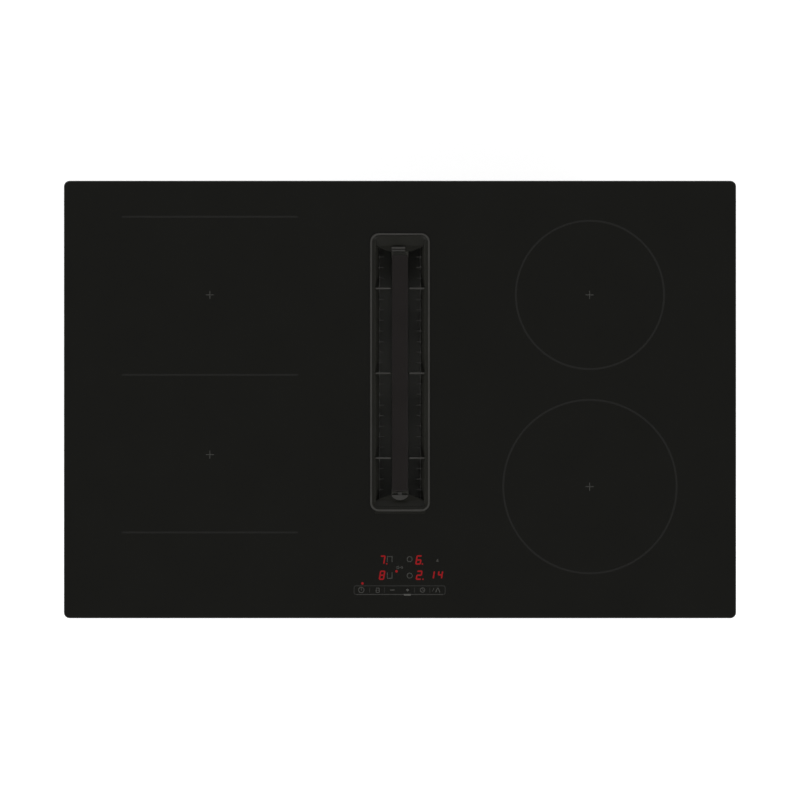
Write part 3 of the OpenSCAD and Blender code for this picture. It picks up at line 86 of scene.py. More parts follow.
# lens and sensor in millimetres, the rest in metres; seen is the width at the glass that fills the picture
camera = {"lens": 200, "sensor": 36, "seen": 0.95433, "aimY": -0.0006, "glassTop": 0.006, "near": 0.05,
          "far": 200}
eye = bpy.data.cameras.new("camera")
eye.type = "PERSP"
eye.lens = camera["lens"]
eye.sensor_width = camera["sensor"]
eye.clip_start = camera["near"]
eye.clip_end = camera["far"]
eyeObject = bpy.data.objects.new("camera", eye)
scene.collection.objects.link(eyeObject)
reach = camera["seen"] * camera["lens"] / camera["sensor"]
eyeObject.location = (0, camera["aimY"], camera["glassTop"] + reach)
scene.camera = eyeObject

overhead = {"height": 9, "radius": 28.6, "sides": 96, "darkTo": 13.5, "dark": 0.16}
studio = {"pale": 1.0, "sunWidth": 24,
          "suns": ((-41, 40, 0.98), (38, 40, 0.98), (178, 60, 0.6))}  # turn, height, strength
world = bpy.data.worlds.new("paleStudio")
scene.world = world
world.use_nodes = True
world.node_tree.nodes["Background"].inputs["Color"].default_value = (1, 1, 1, 1)
world.node_tree.nodes["Background"].inputs["Strength"].default_value = studio["pale"]
world.cycles.sampling_method = "NONE"


def levelDisc(name, s, height, material):
    # a level disc for the studio's card or floor
    bm = bmesh.new()
    bmesh.ops.create_circle(bm, cap_ends=True, segments=s["sides"], radius=s["radius"])
    bmesh.ops.translate(bm, vec=(0, 0, height), verts=bm.verts)
    mesh = bpy.data.meshes.new(name)
    bm.to_mesh(mesh)
    bm.free()
    mesh.materials.append(material)
    disc = bpy.data.objects.new(name, mesh)
    scene.collection.objects.link(disc)
    return disc


# a card overhead, dark in the middle, so that the level glass mirrors no lamp
card = bpy.data.materials.new("gradedCard")
card.use_nodes = True
tree = card.node_tree
tree.nodes.clear()
spot = add(tree, "TexCoord").outputs["Object"]
level = add(tree, "VectorMath", {"operation": "MULTIPLY", 1: (1, 1, 0)}, {0: spot}).outputs[0]
away = add(tree, "VectorMath", {"operation": "LENGTH"}, {0: level}).outputs["Value"]
grade = add(tree, "MapRange", {"interpolation_type": "SMOOTHSTEP", "From Min": overhead["darkTo"],
                               "From Max": overhead["radius"], "To Min": overhead["dark"],
                               "To Max": studio["pale"]}, {"Value": away})
glow = add(tree, "Emission", links={"Strength": grade.outputs[0]})
add(tree, "OutputMaterial", links={"Surface": glow.outputs[0]})
cardObject = levelDisc("overheadCard", overhead, overhead["height"], card)
cardObject.visible_camera = False
cardObject.visible_shadow = False  # the suns shine past it

for turn, height, strength in studio["suns"]:
    sun = bpy.data.lights.new("softSun", "SUN")
    sun.energy = strength
    sun.angle = math.radians(studio["sunWidth"])
    sunObject = bpy.data.objects.new("softSun", sun)
    scene.collection.objects.link(sunObject)
    sunObject.rotation_euler = (math.radians(90 - height), 0, math.radians(turn))

# white paper that a camera or a mirror sees as white, and that shows nothing from below
floor = {"radius": 30, "sides": 96, "gap": 0.0001, "paint": "#e7e7e7", "seenPaint": "#a9a9a9", "glow": 0.86}
paper = bpy.data.materials.new("whitePaperFloor")
paper.use_nodes = True
tree = paper.node_tree
tree.nodes.clear()
path = add(tree, "LightPath").outputs
seen = add(tree, "Math", {"operation": "MAXIMUM"}, {0: path["Is Camera Ray"], 1: path["Is Glossy Ray"]})
seen = add(tree, "Math", {"operation": "MAXIMUM"}, {0: seen.outputs[0], 1: path["Is Transmission Ray"]})
plain = add(tree, "BsdfDiffuse", {"Color": linear(floor["paint"])})
shaded = add(tree, "BsdfDiffuse", {"Color": linear(floor["seenPaint"])})
glow = add(tree, "Emission", {"Strength": floor["glow"]})
lit = add(tree, "AddShader", links={0: shaded.outputs[0], 1: glow.outputs[0]})
either = add(tree, "MixShader", links={0: seen.outputs[0], 1: plain.outputs[0], 2: lit.outputs[0]})
behind = add(tree, "NewGeometry").outputs["Backfacing"]
fromBelow = add(tree, "MixShader", links={0: behind, 1: either.outputs[0],
                                          2: add(tree, "BsdfTransparent").outputs[0]})
add(tree, "OutputMaterial", links={"Surface": fromBelow.outputs[0]})
floorObject = levelDisc("floor", floor, cadLow.z - floor["gap"], paper)
scene.view_settings.view_transform = "Standard"
print("studio: camera, light and floor")


# finishes

def newFinish(name, settings):
    # a Principled shader with its constant values, and the object's coordinates in millimetres
    material = bpy.data.materials.new(name)
    material.use_nodes = True
    tree = material.node_tree
    shader = tree.nodes["Principled BSDF"]
    for key, value in settings.items():
        shader.inputs[key].default_value = linear(value) if isinstance(value, str) else value
    place = add(tree, "TexCoord").outputs["Object"]
    inMm = add(tree, "VectorMath", {"operation": "SCALE", "Scale": 1 / mm}, {0: place}).outputs[0]
    return material, tree, shader, inMm


noiseBand = {"From Min": 0.3, "From Max": 0.7}  # most of a noise lies between these


def twoShades(tree, shader, colours, share):
    # the base colour goes from the first shade to the second
    shade = add(tree, "Mix", {"data_type": "RGBA", 6: linear(colours[0]), 7: linear(colours[1])}, {0: share})
    tree.links.new(shade.outputs[2], shader.inputs["Base Color"])


def patchy(tree, shader, inMm, colours, size, detail=4):
    # the base colour drifts between two shades over patches of this size in millimetres
    noise = add(tree, "TexNoise", {"Scale": 1 / size, "Detail": detail}, {"Vector": inMm})
    spread = add(tree, "MapRange", noiseBand, {"Value": noise.outputs[0]})
    twoShades(tree, shader, colours, spread.outputs[0])
    return spread


def uneven(tree, shader, inMm, low, high, size):
    # the roughness drifts between two values over patches of this size in millimetres
    noise = add(tree, "TexNoise", {"Scale": 1 / size, "Detail": 3}, {"Vector": inMm})
    rough = add(tree, "MapRange", {**noiseBand, "To Min": low, "To Max": high}, {"Value": noise.outputs[0]})
    tree.links.new(rough.outputs[0], shader.inputs["Roughness"])


def raised(tree, shader, height, depth):
    # a height of 0 to 1 raises the surface by this many millimetres
    bump = add(tree, "Bump", {"Strength": 1.0, "Distance": depth * mm}, {"Height": height})
    tree.links.new(bump.outputs[0], shader.inputs["Normal"])


mouldFlow = {"patch": 45, "drift": 0.04, "driftPatch": 14, "gloss": 0.5}  # patches in millimetres


def mouldedPlastic(name, settings):
    # injection moulded: a spark-eroded grain that breaks the gloss, and slow drifts in the flow
    s = {**mouldFlow, **settings}
    material, tree, shader, inMm = newFinish(name, {"IOR": 1.5, "Roughness": s["rough"],
                                                      "Specular IOR Level": s["gloss"]})
    patchy(tree, shader, inMm, s["colours"], s["patch"])
    uneven(tree, shader, inMm, s["rough"] - s["drift"], s["rough"] + s["drift"], s["driftPatch"])
    grain = add(tree, "TexNoise", {"Scale": 1 / s["grain"], "Detail": 2}, {"Vector": inMm})
    raised(tree, shader, grain.outputs[0], s["depth"])
    return material


zincCoat = {"cloud": 60, "cloudShare": 0.6, "drift": 0.08, "grit": 0.7, "depth": 0.01}


def coatedSteel(name, s):
    # zinc coated sheet: crystals of the coating as angular patches that hardly differ in shade
    material, tree, shader, inMm = newFinish(name, {"Metallic": 1.0})
    crystal = add(tree, "TexVoronoi", {"Scale": 1 / s["crystal"], "Randomness": 1.0}, {"Vector": inMm})
    level = add(tree, "SeparateColor", links={0: crystal.outputs["Color"]}).outputs[0]
    cloud = add(tree, "TexNoise", {"Scale": 1 / zincCoat["cloud"], "Detail": 5}, {"Vector": inMm})
    level = add(tree, "Mix", {0: zincCoat["cloudShare"]}, {2: level, 3: cloud.outputs[0]}).outputs[0]
    twoShades(tree, shader, s["colours"], level)
    rough = add(tree, "MapRange", {"To Min": s["rough"] - zincCoat["drift"],
                                   "To Max": s["rough"] + zincCoat["drift"]}, {"Value": level})
    tree.links.new(rough.outputs[0], shader.inputs["Roughness"])
    fine = add(tree, "TexNoise", {"Scale": 1 / zincCoat["grit"], "Detail": 2}, {"Vector": inMm})
    raised(tree, shader, fine.outputs[0], zincCoat["depth"])
    return material


lineDrift = 0.07  # how far the drawn lines swing the roughness


def drawnMetal(name, s):
    # rolled or extruded: fine lines along one axis, so the gloss spreads across them
    material, tree, shader, inMm = newFinish(name, {"Metallic": 1.0})
    long = add(tree, "VectorMath", {"operation": "MULTIPLY", 1: s["along"]}, {0: inMm})
    lines = add(tree, "TexNoise", {"Scale": 1 / s["line"], "Detail": 3}, {"Vector": long.outputs[0]})
    twoShades(tree, shader, s["colours"], lines.outputs[0])
    rough = add(tree, "MapRange", {**noiseBand, "To Min": s["rough"] - lineDrift,
                                   "To Max": s["rough"] + lineDrift}, {"Value": lines.outputs[0]})
    tree.links.new(rough.outputs[0], shader.inputs["Roughness"])
    raised(tree, shader, lines.outputs[0], s["depth"])
    return material


def closedCellFoam(name, s):
    # foam or soft rubber: a matt skin with the rims of burst cells
    material, tree, shader, inMm = newFinish(name, {"IOR": 1.45, "Roughness": s["rough"]})
    patchy(tree, shader, inMm, s["colours"], s["patch"])
    cells = add(tree, "TexVoronoi", {"Scale": 1 / s["cell"]}, {"Vector": inMm})
    raised(tree, shader, cells.outputs["Distance"], s["depth"])
    return material


finishes = {}

# black glass ceramic, rolled and fire polished: a mirror with a hardly visible roller wave
material, tree, shader, inMm = newFinish("blackGlassCeramic", {"IOR": 1.53, "Roughness": 0.07})
rollerWave = {"long": 35, "depth": 0.006}
patchy(tree, shader, inMm, ("#0c0c08", "#0e0e0a"), size=60)
wave = add(tree, "TexNoise", {"Scale": 1 / rollerWave["long"], "Detail": 1}, {"Vector": inMm})
raised(tree, shader, wave.outputs[0], rollerWave["depth"])
finishes["glass_ceramic"] = material

# stranded enamelled copper: strands lie in the winding's turns, each catching its own line
material, tree, shader, inMm = newFinish("enamelledCopperStrand", {
    "Metallic": 1.0, "Roughness": 0.36, "Coat Weight": 0.5, "Coat Roughness": 0.2})
strandWidth = 0.9  # coarser than the real strands, so that they show
strand = add(tree, "TexNoise", {"Scale": 1 / strandWidth, "Detail": 3}, {"Vector": inMm})
twoShades(tree, shader, ("#8a4424", "#c97a4c"), strand.outputs[0])
raised(tree, shader, strand.outputs[0], depth=0.15)
finishes["coil_copper"] = material

# glass fibre board: green solder mask over tracks that stand up a little
material, tree, shader, inMm = newFinish("solderMaskedBoard", {
    "Roughness": 0.32, "IOR": 1.5, "Coat Weight": 0.3})
tracks = add(tree, "TexBrick", {"Scale": 1.0, "Brick Width": 7.0, "Row Height": 2.2, "Mortar Size": 0.35,
                                "Color1": linear("#1d5233"), "Color2": linear("#23613c"),
                                "Mortar": linear("#174427")}, {"Vector": inMm})
tree.links.new(tracks.outputs[0], shader.inputs["Base Color"])
raised(tree, shader, tracks.outputs["Fac"], depth=-0.05)
finishes["circuit_board"] = material

# mica paper disc: pearly flakes in a pale brown binder
material, tree, shader, inMm = newFinish("micaPaper", {
    "Roughness": 0.35, "IOR": 1.56, "Coat Weight": 0.4, "Coat Roughness": 0.15})
flake = patchy(tree, shader, inMm, ("#a28d62", "#cdbf98"), size=3, detail=6)
raised(tree, shader, flake.outputs[0], depth=0.04)
finishes["mica"] = material

# display window: red dyed acrylic over the digit module
material, tree, shader, inMm = newFinish("redDyedAcrylic", {
    "Roughness": 0.15, "IOR": 1.49, "Coat Weight": 0.5})
patchy(tree, shader, inMm, ("#4a0d10", "#5c1216"), size=8)
finishes["display_red"] = material

# moulded plastics, ceramics and films: grain and its depth in millimetres
plastics = {
    "grille_black": ("blackEtchedPolyamide", {"colours": ("#191915", "#1d1d19"), "rough": 0.34, "gloss": 0.16,
                                              "grain": 0.5, "depth": 0.02}),
    "bar_black": ("blackSatinPolyamide", {"colours": ("#1b1817", "#1f1c1b"), "rough": 0.3, "gloss": 0.24,
                                          "drift": 0.015, "grain": 0.4, "depth": 0.012}),
    "filter_plastic": ("darkGreyPolypropylene", {"colours": ("#30302b", "#363631"), "rough": 0.5,
                                                 "grain": 0.6, "depth": 0.02}),
    "duct_plastic": ("greyFlameProofPlastic", {"colours": ("#3b3c3e", "#434446"), "rough": 0.5,
                                               "grain": 0.7, "depth": 0.03}),
    "casing_plastic": ("blackTalcPolypropylene", {"colours": ("#292a2c", "#2f3032"), "rough": 0.52,
                                                  "drift": 0.02, "grain": 0.8, "depth": 0.03}),
    "impeller_plastic": ("blackGlassFilledPolyamide", {"colours": ("#1d1e20", "#242528"), "rough": 0.45,
                                                       "grain": 0.5, "depth": 0.02}),
    "container_plastic": ("smokeGreyPolypropylene", {"colours": ("#4c4e51", "#56585b"), "rough": 0.38,
                                                     "grain": 0.6, "depth": 0.015}),
    "carrier_plastic": ("naturalGreyPolyester", {"colours": ("#8b8d8b", "#989a97"), "rough": 0.5,
                                                 "grain": 0.6, "depth": 0.02}),
    "component_black": ("blackEpoxy", {"colours": ("#18181a", "#202022"), "rough": 0.4,
                                       "grain": 0.4, "depth": 0.01}),
    "component_yellow": ("yellowFilmWrap", {"colours": ("#b98f1d", "#cba42c"), "rough": 0.3,
                                            "grain": 1.2, "depth": 0.02}),
    "sensor_ceramic": ("whiteAluminaCeramic", {"colours": ("#d9d7cf", "#e6e4dc"), "rough": 0.4,
                                               "grain": 0.3, "depth": 0.01}),
    "ferrite": ("sinteredFerrite", {"colours": ("#2b2c2e", "#37383a"), "rough": 0.62,
                                    "grain": 0.4, "depth": 0.03}),
}
for slot, (name, settings) in plastics.items():
    finishes[slot] = mouldedPlastic(name, settings)

# sheet, bar and screws: crystal is the size of the coating's grains in millimetres
steels = {
    "frame_steel": ("galvanisedSteelBar", {"colours": ("#969a9c", "#a6aaab"), "rough": 0.42, "crystal": 3}),
    "tray_steel": ("hotDipZincSheet", {"colours": ("#95999b", "#a7abac"), "rough": 0.42, "crystal": 4}),
    "screw_steel": ("brightZincPlatedSteel", {"colours": ("#a4a8ab", "#c0c4c6"), "rough": 0.28,
                                              "crystal": 1.5}),
    "motor_metal": ("phosphatedSteel", {"colours": ("#626567", "#6e7173"), "rough": 0.45, "crystal": 1.5}),
}
for slot, (name, settings) in steels.items():
    finishes[slot] = coatedSteel(name, settings)

# line is the spacing of the drawn lines in millimetres, and along squeezes them onto one axis
drawn = {
    "filter_metal": ("rolledAluminiumMesh", {"colours": ("#a1a19e", "#c1c1bd"), "rough": 0.38,
                                             "line": 0.6, "along": (1, 0.15, 1), "depth": 0.01}),
    "shield_aluminium": ("millFinishAluminium", {"colours": ("#a8abad", "#c4c7c8"), "rough": 0.34,
                                                 "line": 0.8, "along": (0.03, 1, 1), "depth": 0.01}),
    "sink_aluminium": ("extrudedAluminium", {"colours": ("#a0a3a5", "#bcbfc1"), "rough": 0.36,
                                             "line": 0.7, "along": (1, 0.03, 1), "depth": 0.015}),
}
for slot, (name, settings) in drawn.items():
    finishes[slot] = drawnMetal(name, settings)

# foam and rubber: cell and its depth in millimetres
soft = {
    "seal_foam": ("closedCellRubberFoam", {"colours": ("#222324", "#2b2c2d"), "rough": 0.9, "patch": 6,
                                           "cell": 0.7, "depth": 0.12}),
    "silicone": ("greySiliconeRubber", {"colours": ("#4d4f50", "#585a5b"), "rough": 0.45, "patch": 6,
                                        "cell": 2.5, "depth": 0.02}),
}
for slot, (name, settings) in soft.items():
    finishes[slot] = closedCellFoam(name, settings)

for part, slot in slotOf.items():
    for place in nodes[part].material_slots:
        place.material = finishes[slot]
print("finishes:", len(finishes))


# how a piece is finished

smoothTurn = 50  # degrees up to which a rounded edge is shaded smooth


def finishPiece(name, bm, materials, body, replaced=(), smooth=None):
    # built in millimetres where it belongs, so its object stays at the origin
    bmesh.ops.scale(bm, vec=(mm, mm, mm), verts=bm.verts)
    mesh = bpy.data.meshes.new(name)
    bm.to_mesh(mesh)
    bm.free()
    for material in materials:
        mesh.materials.append(material)
    if smooth:
        mesh.shade_smooth()
        mesh.set_sharp_from_angle(angle=math.radians(smooth))
    piece = bpy.data.objects.new(name, mesh)
    scene.collection.objects.link(piece)
    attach(piece, body)
    if replaced:
        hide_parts(*replaced)
    return piece


cadMesh = {"weld": 0.001, "flat": 0.5}  # millimetres, and degrees


def copyOf(part):
    # a CAD part's mesh in millimetres, its loose triangles merged and its flats made whole
    bm = bmesh.new()
    bm.from_mesh(nodes[part].data)
    bmesh.ops.scale(bm, vec=(1 / mm, 1 / mm, 1 / mm), verts=bm.verts)
    bmesh.ops.remove_doubles(bm, verts=bm.verts, dist=cadMesh["weld"])
    bmesh.ops.dissolve_limit(bm, angle_limit=math.radians(cadMesh["flat"]), verts=bm.verts, edges=bm.edges)
    return bm


def sharpEdges(bm, degrees):
    # the edges at which the surface turns by more than this
    return [e for e in bm.edges if len(e.link_faces) == 2 and e.calc_face_angle() > math.radians(degrees)]


def bevelEdges(bm, edges, width, segments):
    bmesh.ops.bevel(bm, geom=edges, offset=width, segments=segments, profile=0.5, affect="EDGES",
                    material=-1, clamp_overlap=False)


strayShare = 0.7  # no rounded point is farther from the old surface than this share of the width


def roundEdges(bm, edges, width, segments):
    # a corner where many edges meet can shoot out, so stray points go back to the unrounded surface
    before = BVHTree.FromBMesh(bm)
    bevelEdges(bm, edges, width, segments)
    for point in bm.verts:
        surface, normal, face, distance = before.find_nearest(point.co)
        if distance > width * strayShare:
            point.co = surface


def evenNormals(piece):
    # flats stay flat beside their rounded edges
    piece.modifiers.new("evenNormals", "WEIGHTED_NORMAL").keep_sharp = True


def roundedCopy(name, part, width, degrees=25, segments=2):
    # a CAD part with its arrises rounded as its mould or die leaves them
    bm = copyOf(part)
    roundEdges(bm, sharpEdges(bm, degrees), width, segments)
    piece = finishPiece(name, bm, [finishes[slotOf[part]]], bodyOf[part], [part], smoothTurn)
    evenNormals(piece)


def pullUp(bm, faces, height):
    # extrudes flat shapes straight up into a body of this height
    made = bmesh.ops.extrude_face_region(bm, geom=faces)["geom"]
    bmesh.ops.translate(bm, vec=(0, 0, height), verts=pointsOf(made))


def pointsOf(made):
    return [part for part in made if isinstance(part, bmesh.types.BMVert)]


def facesOf(points):
    return list({face for point in points for face in point.link_faces})


def cutMiddle(bm, made, rim):
    # leaves only a rim of this width of a flat shape
    middle = facesOf(made)
    bmesh.ops.inset_region(bm, faces=middle, thickness=rim, use_boundary=True, use_even_offset=True)
    bmesh.ops.delete(bm, geom=middle, context="FACES")


def addBlock(bm, size, middle):
    made = bmesh.ops.create_cube(bm, size=1)["verts"]
    bmesh.ops.scale(bm, vec=size, verts=made)
    bmesh.ops.translate(bm, vec=middle, verts=made)


def flatBar(bm, x, y, length, width, turn=0, corner=0, rounds=1):
    # a level strip with cut or rounded corners, for a printed line or a digit's segment
    made = bmesh.ops.create_grid(bm, x_segments=1, y_segments=1, size=0.5)["verts"]
    bmesh.ops.scale(bm, vec=(length, width, 1), verts=made)
    if corner:
        made = bmesh.ops.bevel(bm, geom=made, offset=corner, segments=rounds, profile=0.5,
                               affect="VERTICES", material=-1)["verts"]
    bmesh.ops.rotate(bm, matrix=Matrix.Rotation(math.radians(turn), 3, "Z"), verts=made)
    bmesh.ops.translate(bm, vec=(x, y, 0), verts=made)
    return made


def flatOutline(bm, x, y, length, width, corner, line):
    # a rounded frame: a strip without its middle
    made = flatBar(bm, x, y, length, width, 0, corner, 6)
    cutMiddle(bm, made, line)


# the insert in the air inlet

# painted highlight: the insert's top band, rib crests, tabs and fin tops are painted paler, standing in for
# the light that their edges catch
paintedHighlight, tree, shader, inMm = newFinish("paintedHighlightPolyamide", {"IOR": 1.5})
patchy(tree, shader, inMm, ("#302f2c", "#373633"), size=20)
uneven(tree, shader, inMm, low=0.34, high=0.44, size=6)
# the walls down in the opening keep the matt etched face of the mould; their colour is painted a touch paler
# than the slopes', painted light that lifts the shade deep in the opening
paintedLightWall, tree, shader, inMm = newFinish("paintedLightPolyamideWall", {"IOR": 1.5, "Specular IOR Level": 0.25})
patchy(tree, shader, inMm, ("#2f2f2a", "#353530"), size=12)
uneven(tree, shader, inMm, low=0.52, high=0.64, size=5)

# heights and places in millimetres that tell the insert's faces apart
insert = {"round": 0.35, "middleY": 31.35, "bandZ": 8.1, "crestZ": 5.6, "crestNear": 0.05, "openingHalf": 33,
          "tabZ": 1.3, "tabFrom": 141, "tabTo": 152, "tabHalf": 10.5, "wallHalf": 30.1, "wallTo": 147,
          "finTop": -8.9, "finNear": 0.2, "finHalf": 25.3, "level": 0.99, "steep": 0.5}
slopeIndex, paintedHighlightIndex, paintedLightWallIndex = 0, 1, 2
bm = copyOf("inlet_grille")
for face in bm.faces:
    centre = face.calc_center_median()
    across, along = abs(centre.x), abs(centre.y - insert["middleY"])
    level = face.normal.z > insert["level"]
    onBand = level and centre.z > insert["bandZ"]
    onCrest = (level and abs(centre.z - insert["crestZ"]) < insert["crestNear"]
               and across < insert["openingHalf"])
    onTab = (centre.z > insert["tabZ"] and across < insert["tabHalf"]
             and insert["tabFrom"] < along < insert["tabTo"])
    onFin = level and abs(centre.z - insert["finTop"]) < insert["finNear"] and across < insert["finHalf"]
    steep = abs(face.normal.x) > insert["steep"]
    onWall = (across < insert["wallHalf"] and steep and along < insert["wallTo"]
              or centre.z < insert["finTop"])
    # painted highlight on the top band, the rib crests, the tabs and the fin tops; the walls get their paler
    # painted-light colour
    if onBand or onCrest or onTab or onFin:
        face.material_index = paintedHighlightIndex
    else:
        face.material_index = paintedLightWallIndex if onWall else slopeIndex
roundEdges(bm, sharpEdges(bm, 25), insert["round"], 2)
piece = finishPiece("inletInsert", bm, [finishes["grille_black"], paintedHighlight, paintedLightWall], "grille_unit",
                    ["inlet_grille"], smoothTurn)
evenNormals(piece)
roundedCopy("inletBar", "centre_bar", 0.5, 20, 3)

# each tongue runs on under the bar's end as a thin seat; its paler painted-light wall colour lifts the shade
# in the gap beside the bar's end
seat = {"width": 20, "from": 137.5, "to": 145.4, "low": -0.6, "top": 1.0, "round": 0.3}
bm = bmesh.new()
for side in (-1, 1):
    addBlock(bm, (seat["width"], seat["to"] - seat["from"], seat["top"] - seat["low"]),
             (0, insert["middleY"] + side * (seat["from"] + seat["to"]) / 2, (seat["low"] + seat["top"]) / 2))
roundEdges(bm, bm.edges[:], seat["round"], 2)
finishPiece("barSeats", bm, [paintedLightWall], "grille_unit", (), smoothTurn)
print("insert and bar")


# grease filter in the inlet

# cell is a diamond's length and height, strand its width, and layers the heights of the two sheets
filterMesh = {"outer": 27.2, "thick": 3.0, "middleY": 31.35, "long": 305.6, "low": -67.5, "high": -21.5,
              "cell": (9.6, 5.4), "strand": 1.1, "sheet": 0.5, "wave": 0.35, "layers": (1.1, 2.1), "rim": 2.6,
              "fold": 0.5, "weld": 0.01, "near": 0.001}


def expandedSheet(bm, phase):
    # diamonds slit and stretched from one sheet; one is cut out and repeated until it fills the frame
    f = filterMesh
    long, tall = f["long"] - f["rim"], f["high"] - f["low"] - f["rim"]
    cellLong, cellTall = f["cell"]
    first = bmesh.ops.create_circle(bm, cap_ends=True, segments=4, radius=0.5)["verts"]
    bmesh.ops.scale(bm, vec=(cellLong, cellTall, 1), verts=first)
    cutMiddle(bm, first, f["strand"] / 2)
    cell = bm.verts[:] + bm.edges[:] + bm.faces[:]
    columns, rows = int(long / cellLong) + 2, int(tall / cellTall) + 2
    for column in range(-columns, columns + 1):
        for row in range(-rows, rows + 1):
            x, y = (column + phase) * cellLong / 2, row * cellTall / 2
            if (column + row) % 2 or abs(x) > long / 2 + cellLong or abs(y) > tall / 2 + cellTall:
                continue
            made = bmesh.ops.duplicate(bm, geom=cell)["geom"]
            bmesh.ops.translate(bm, vec=(x, y, 0), verts=pointsOf(made))
    bmesh.ops.delete(bm, geom=pointsOf(cell), context="VERTS")
    bmesh.ops.remove_doubles(bm, verts=bm.verts, dist=f["weld"])
    for way, limit in (((1, 0, 0), long / 2), ((0, 1, 0), tall / 2)):
        for side in (-1, 1):
            bmesh.ops.bisect_plane(bm, geom=bm.verts[:] + bm.edges[:] + bm.faces[:], dist=f["near"],
                                   plane_co=Vector(way) * limit * side, plane_no=Vector(way) * side,
                                   clear_outer=True)
    for point in bm.verts:
        point.co.z = f["wave"] * math.cos(2 * math.pi * (point.co.x / cellLong - phase / 2))
    bmesh.ops.recalc_face_normals(bm, faces=bm.faces)
    bmesh.ops.solidify(bm, geom=bm.faces[:], thickness=f["sheet"])


# stoved channel: grey paint over the folded metal, half matt, its grey made pale as painted light that lifts
# the deep shade in the gap beside the insert's wall foot; the mesh itself takes the first material
paintedLightChannelIndex = 1
paintedLightChannel = mouldedPlastic("paintedLightGreyChannel", {"colours": ("#656562", "#6d6d6a"), "rough": 0.5,
                                                "gloss": 0.3, "grain": 0.5, "depth": 0.01})


def rolledFrame(bm):
    # a channel folded round the sheets' cut edges
    f = filterMesh
    made = flatBar(bm, 0, 0, f["long"], f["high"] - f["low"])
    cutMiddle(bm, made, f["rim"])
    pullUp(bm, facesOf(made), f["thick"])
    bmesh.ops.recalc_face_normals(bm, faces=bm.faces)
    bevelEdges(bm, sharpEdges(bm, 30), f["fold"], 2)
    for face in bm.faces:
        face.material_index = paintedLightChannelIndex


def mergeInto(target, source):
    # adds one bmesh to another and frees it
    mesh = bpy.data.meshes.new("part")
    source.to_mesh(mesh)
    source.free()
    target.from_mesh(mesh)
    bpy.data.meshes.remove(mesh)


for side, name, part in ((-1, "filterMeshLeft", "filter_mesh_left"),
                         (1, "filterMeshRight", "filter_mesh_right")):
    whole = bmesh.new()
    rim = bmesh.new()
    rolledFrame(rim)
    mergeInto(whole, rim)
    for layer, height in enumerate(filterMesh["layers"]):
        sheet = bmesh.new()
        expandedSheet(sheet, 0.5 * layer)
        bmesh.ops.translate(sheet, vec=(0, 0, height), verts=sheet.verts)
        mergeInto(whole, sheet)
    f = filterMesh
    stood = Matrix(((0, 0, -side, side * f["outer"]), (side, 0, 0, f["middleY"]),
                    (0, -1, 0, (f["low"] + f["high"]) / 2), (0, 0, 0, 1)))
    bmesh.ops.transform(whole, matrix=stood, verts=whole.verts)
    finishPiece(name, whole, [finishes["filter_metal"], paintedLightChannel], "filter_unit", [part])
roundedCopy("filterFrame", "filter_frame", 0.5)
roundedCopy("dripTray", "drip_tray", 0.4)
print("grease filter and drip tray")


# outer parts

for name, part, width in (("worktopSeal", "worktop_seal", 0.5), ("upperCasing", "module_upper_casing", 0.5),
                          ("fanDeck", "fan_deck", 0.3), ("lowerCasing", "module_lower_casing", 0.5),
                          ("ductConnector", "duct_connector", 0.5), ("cableGland", "cable_gland", 0.4),
                          ("overflowContainer", "overflow_container", 0.5)):
    roundedCopy(name, part, width)

# the tray's floor turns up into its walls over a bending radius
tray = {"fold": 1.6, "floor": -60, "halfLong": 372.5, "halfDeep": 242.5, "corner": 8, "near": 0.01}
bm = copyOf("base_tray")
fold = []
for edge in bm.edges:
    ends = [v.co for v in edge.verts]
    outside = all(abs(p.x) > tray["halfLong"] - tray["corner"] - tray["near"]
                  or abs(p.y) > tray["halfDeep"] - tray["near"] for p in ends)
    if all(p.z < tray["floor"] + tray["near"] for p in ends) and outside and edge.calc_face_angle(0) > 1:
        fold.append(edge)
bevelEdges(bm, fold, tray["fold"], 4)
piece = finishPiece("baseTray", bm, [finishes["tray_steel"]], "root", ["base_tray"],
                    smoothTurn)
evenNormals(piece)


nearTop = 0.9  # share of the height


def topEdges(edges, height):
    # those that lie on the top of a body of this height
    return [e for e in edges if all(v.co.z > height * nearTop for v in e.verts)]


# shallow ribs that stiffen the walls of the lower casing
rib = {"width": 2.4, "rise": 1.4, "sunk": 0.6, "low": -206, "high": -132, "round": 0.5,
       "sideWalls": ((-135, -1), (265, 1)), "sidePlaces": range(-160, 200, 32),
       "endWalls": ((-190, -1, (-97, *range(44, 240, 32))), (225, 1, range(-108, 8, 28)))}
bm = bmesh.new()
deep, tall = rib["rise"] + rib["sunk"], rib["high"] - rib["low"]
proud, middle = (rib["rise"] - rib["sunk"]) / 2, (rib["high"] + rib["low"]) / 2
for wall, outward in rib["sideWalls"]:
    for place in rib["sidePlaces"]:
        addBlock(bm, (deep, rib["width"], tall), (wall + outward * proud, place, middle))
for wall, outward, places in rib["endWalls"]:
    for place in places:
        addBlock(bm, (rib["width"], deep, tall), (place, wall + outward * proud, middle))
roundEdges(bm, bm.edges[:], rib["round"], 2)
finishPiece("casingRibs", bm, [finishes["casing_plastic"]], "root", (), smoothTurn)

# a raised frame round the container's front keeps the panel flat
panelFrame = {"x": -25, "y": -194.5, "z": -167.8, "width": 92, "tall": 72, "corner": 5, "line": 2.2,
              "rise": 0.9, "round": 0.35}
bm = bmesh.new()
f = panelFrame
flatOutline(bm, 0, 0, f["width"], f["tall"], f["corner"], f["line"])
pullUp(bm, bm.faces[:], f["rise"])
bmesh.ops.recalc_face_normals(bm, faces=bm.faces)
roundEdges(bm, topEdges(sharpEdges(bm, 40), f["rise"]), f["round"], 2)
upright = Matrix(((1, 0, 0, f["x"]), (0, 0, -1, f["y"]), (0, 1, 0, f["z"]), (0, 0, 0, 1)))
bmesh.ops.transform(bm, matrix=upright, verts=bm.verts)
finishPiece("containerPanelFrame", bm, [finishes["container_plastic"]], "overflow_unit",
            (), smoothTurn)

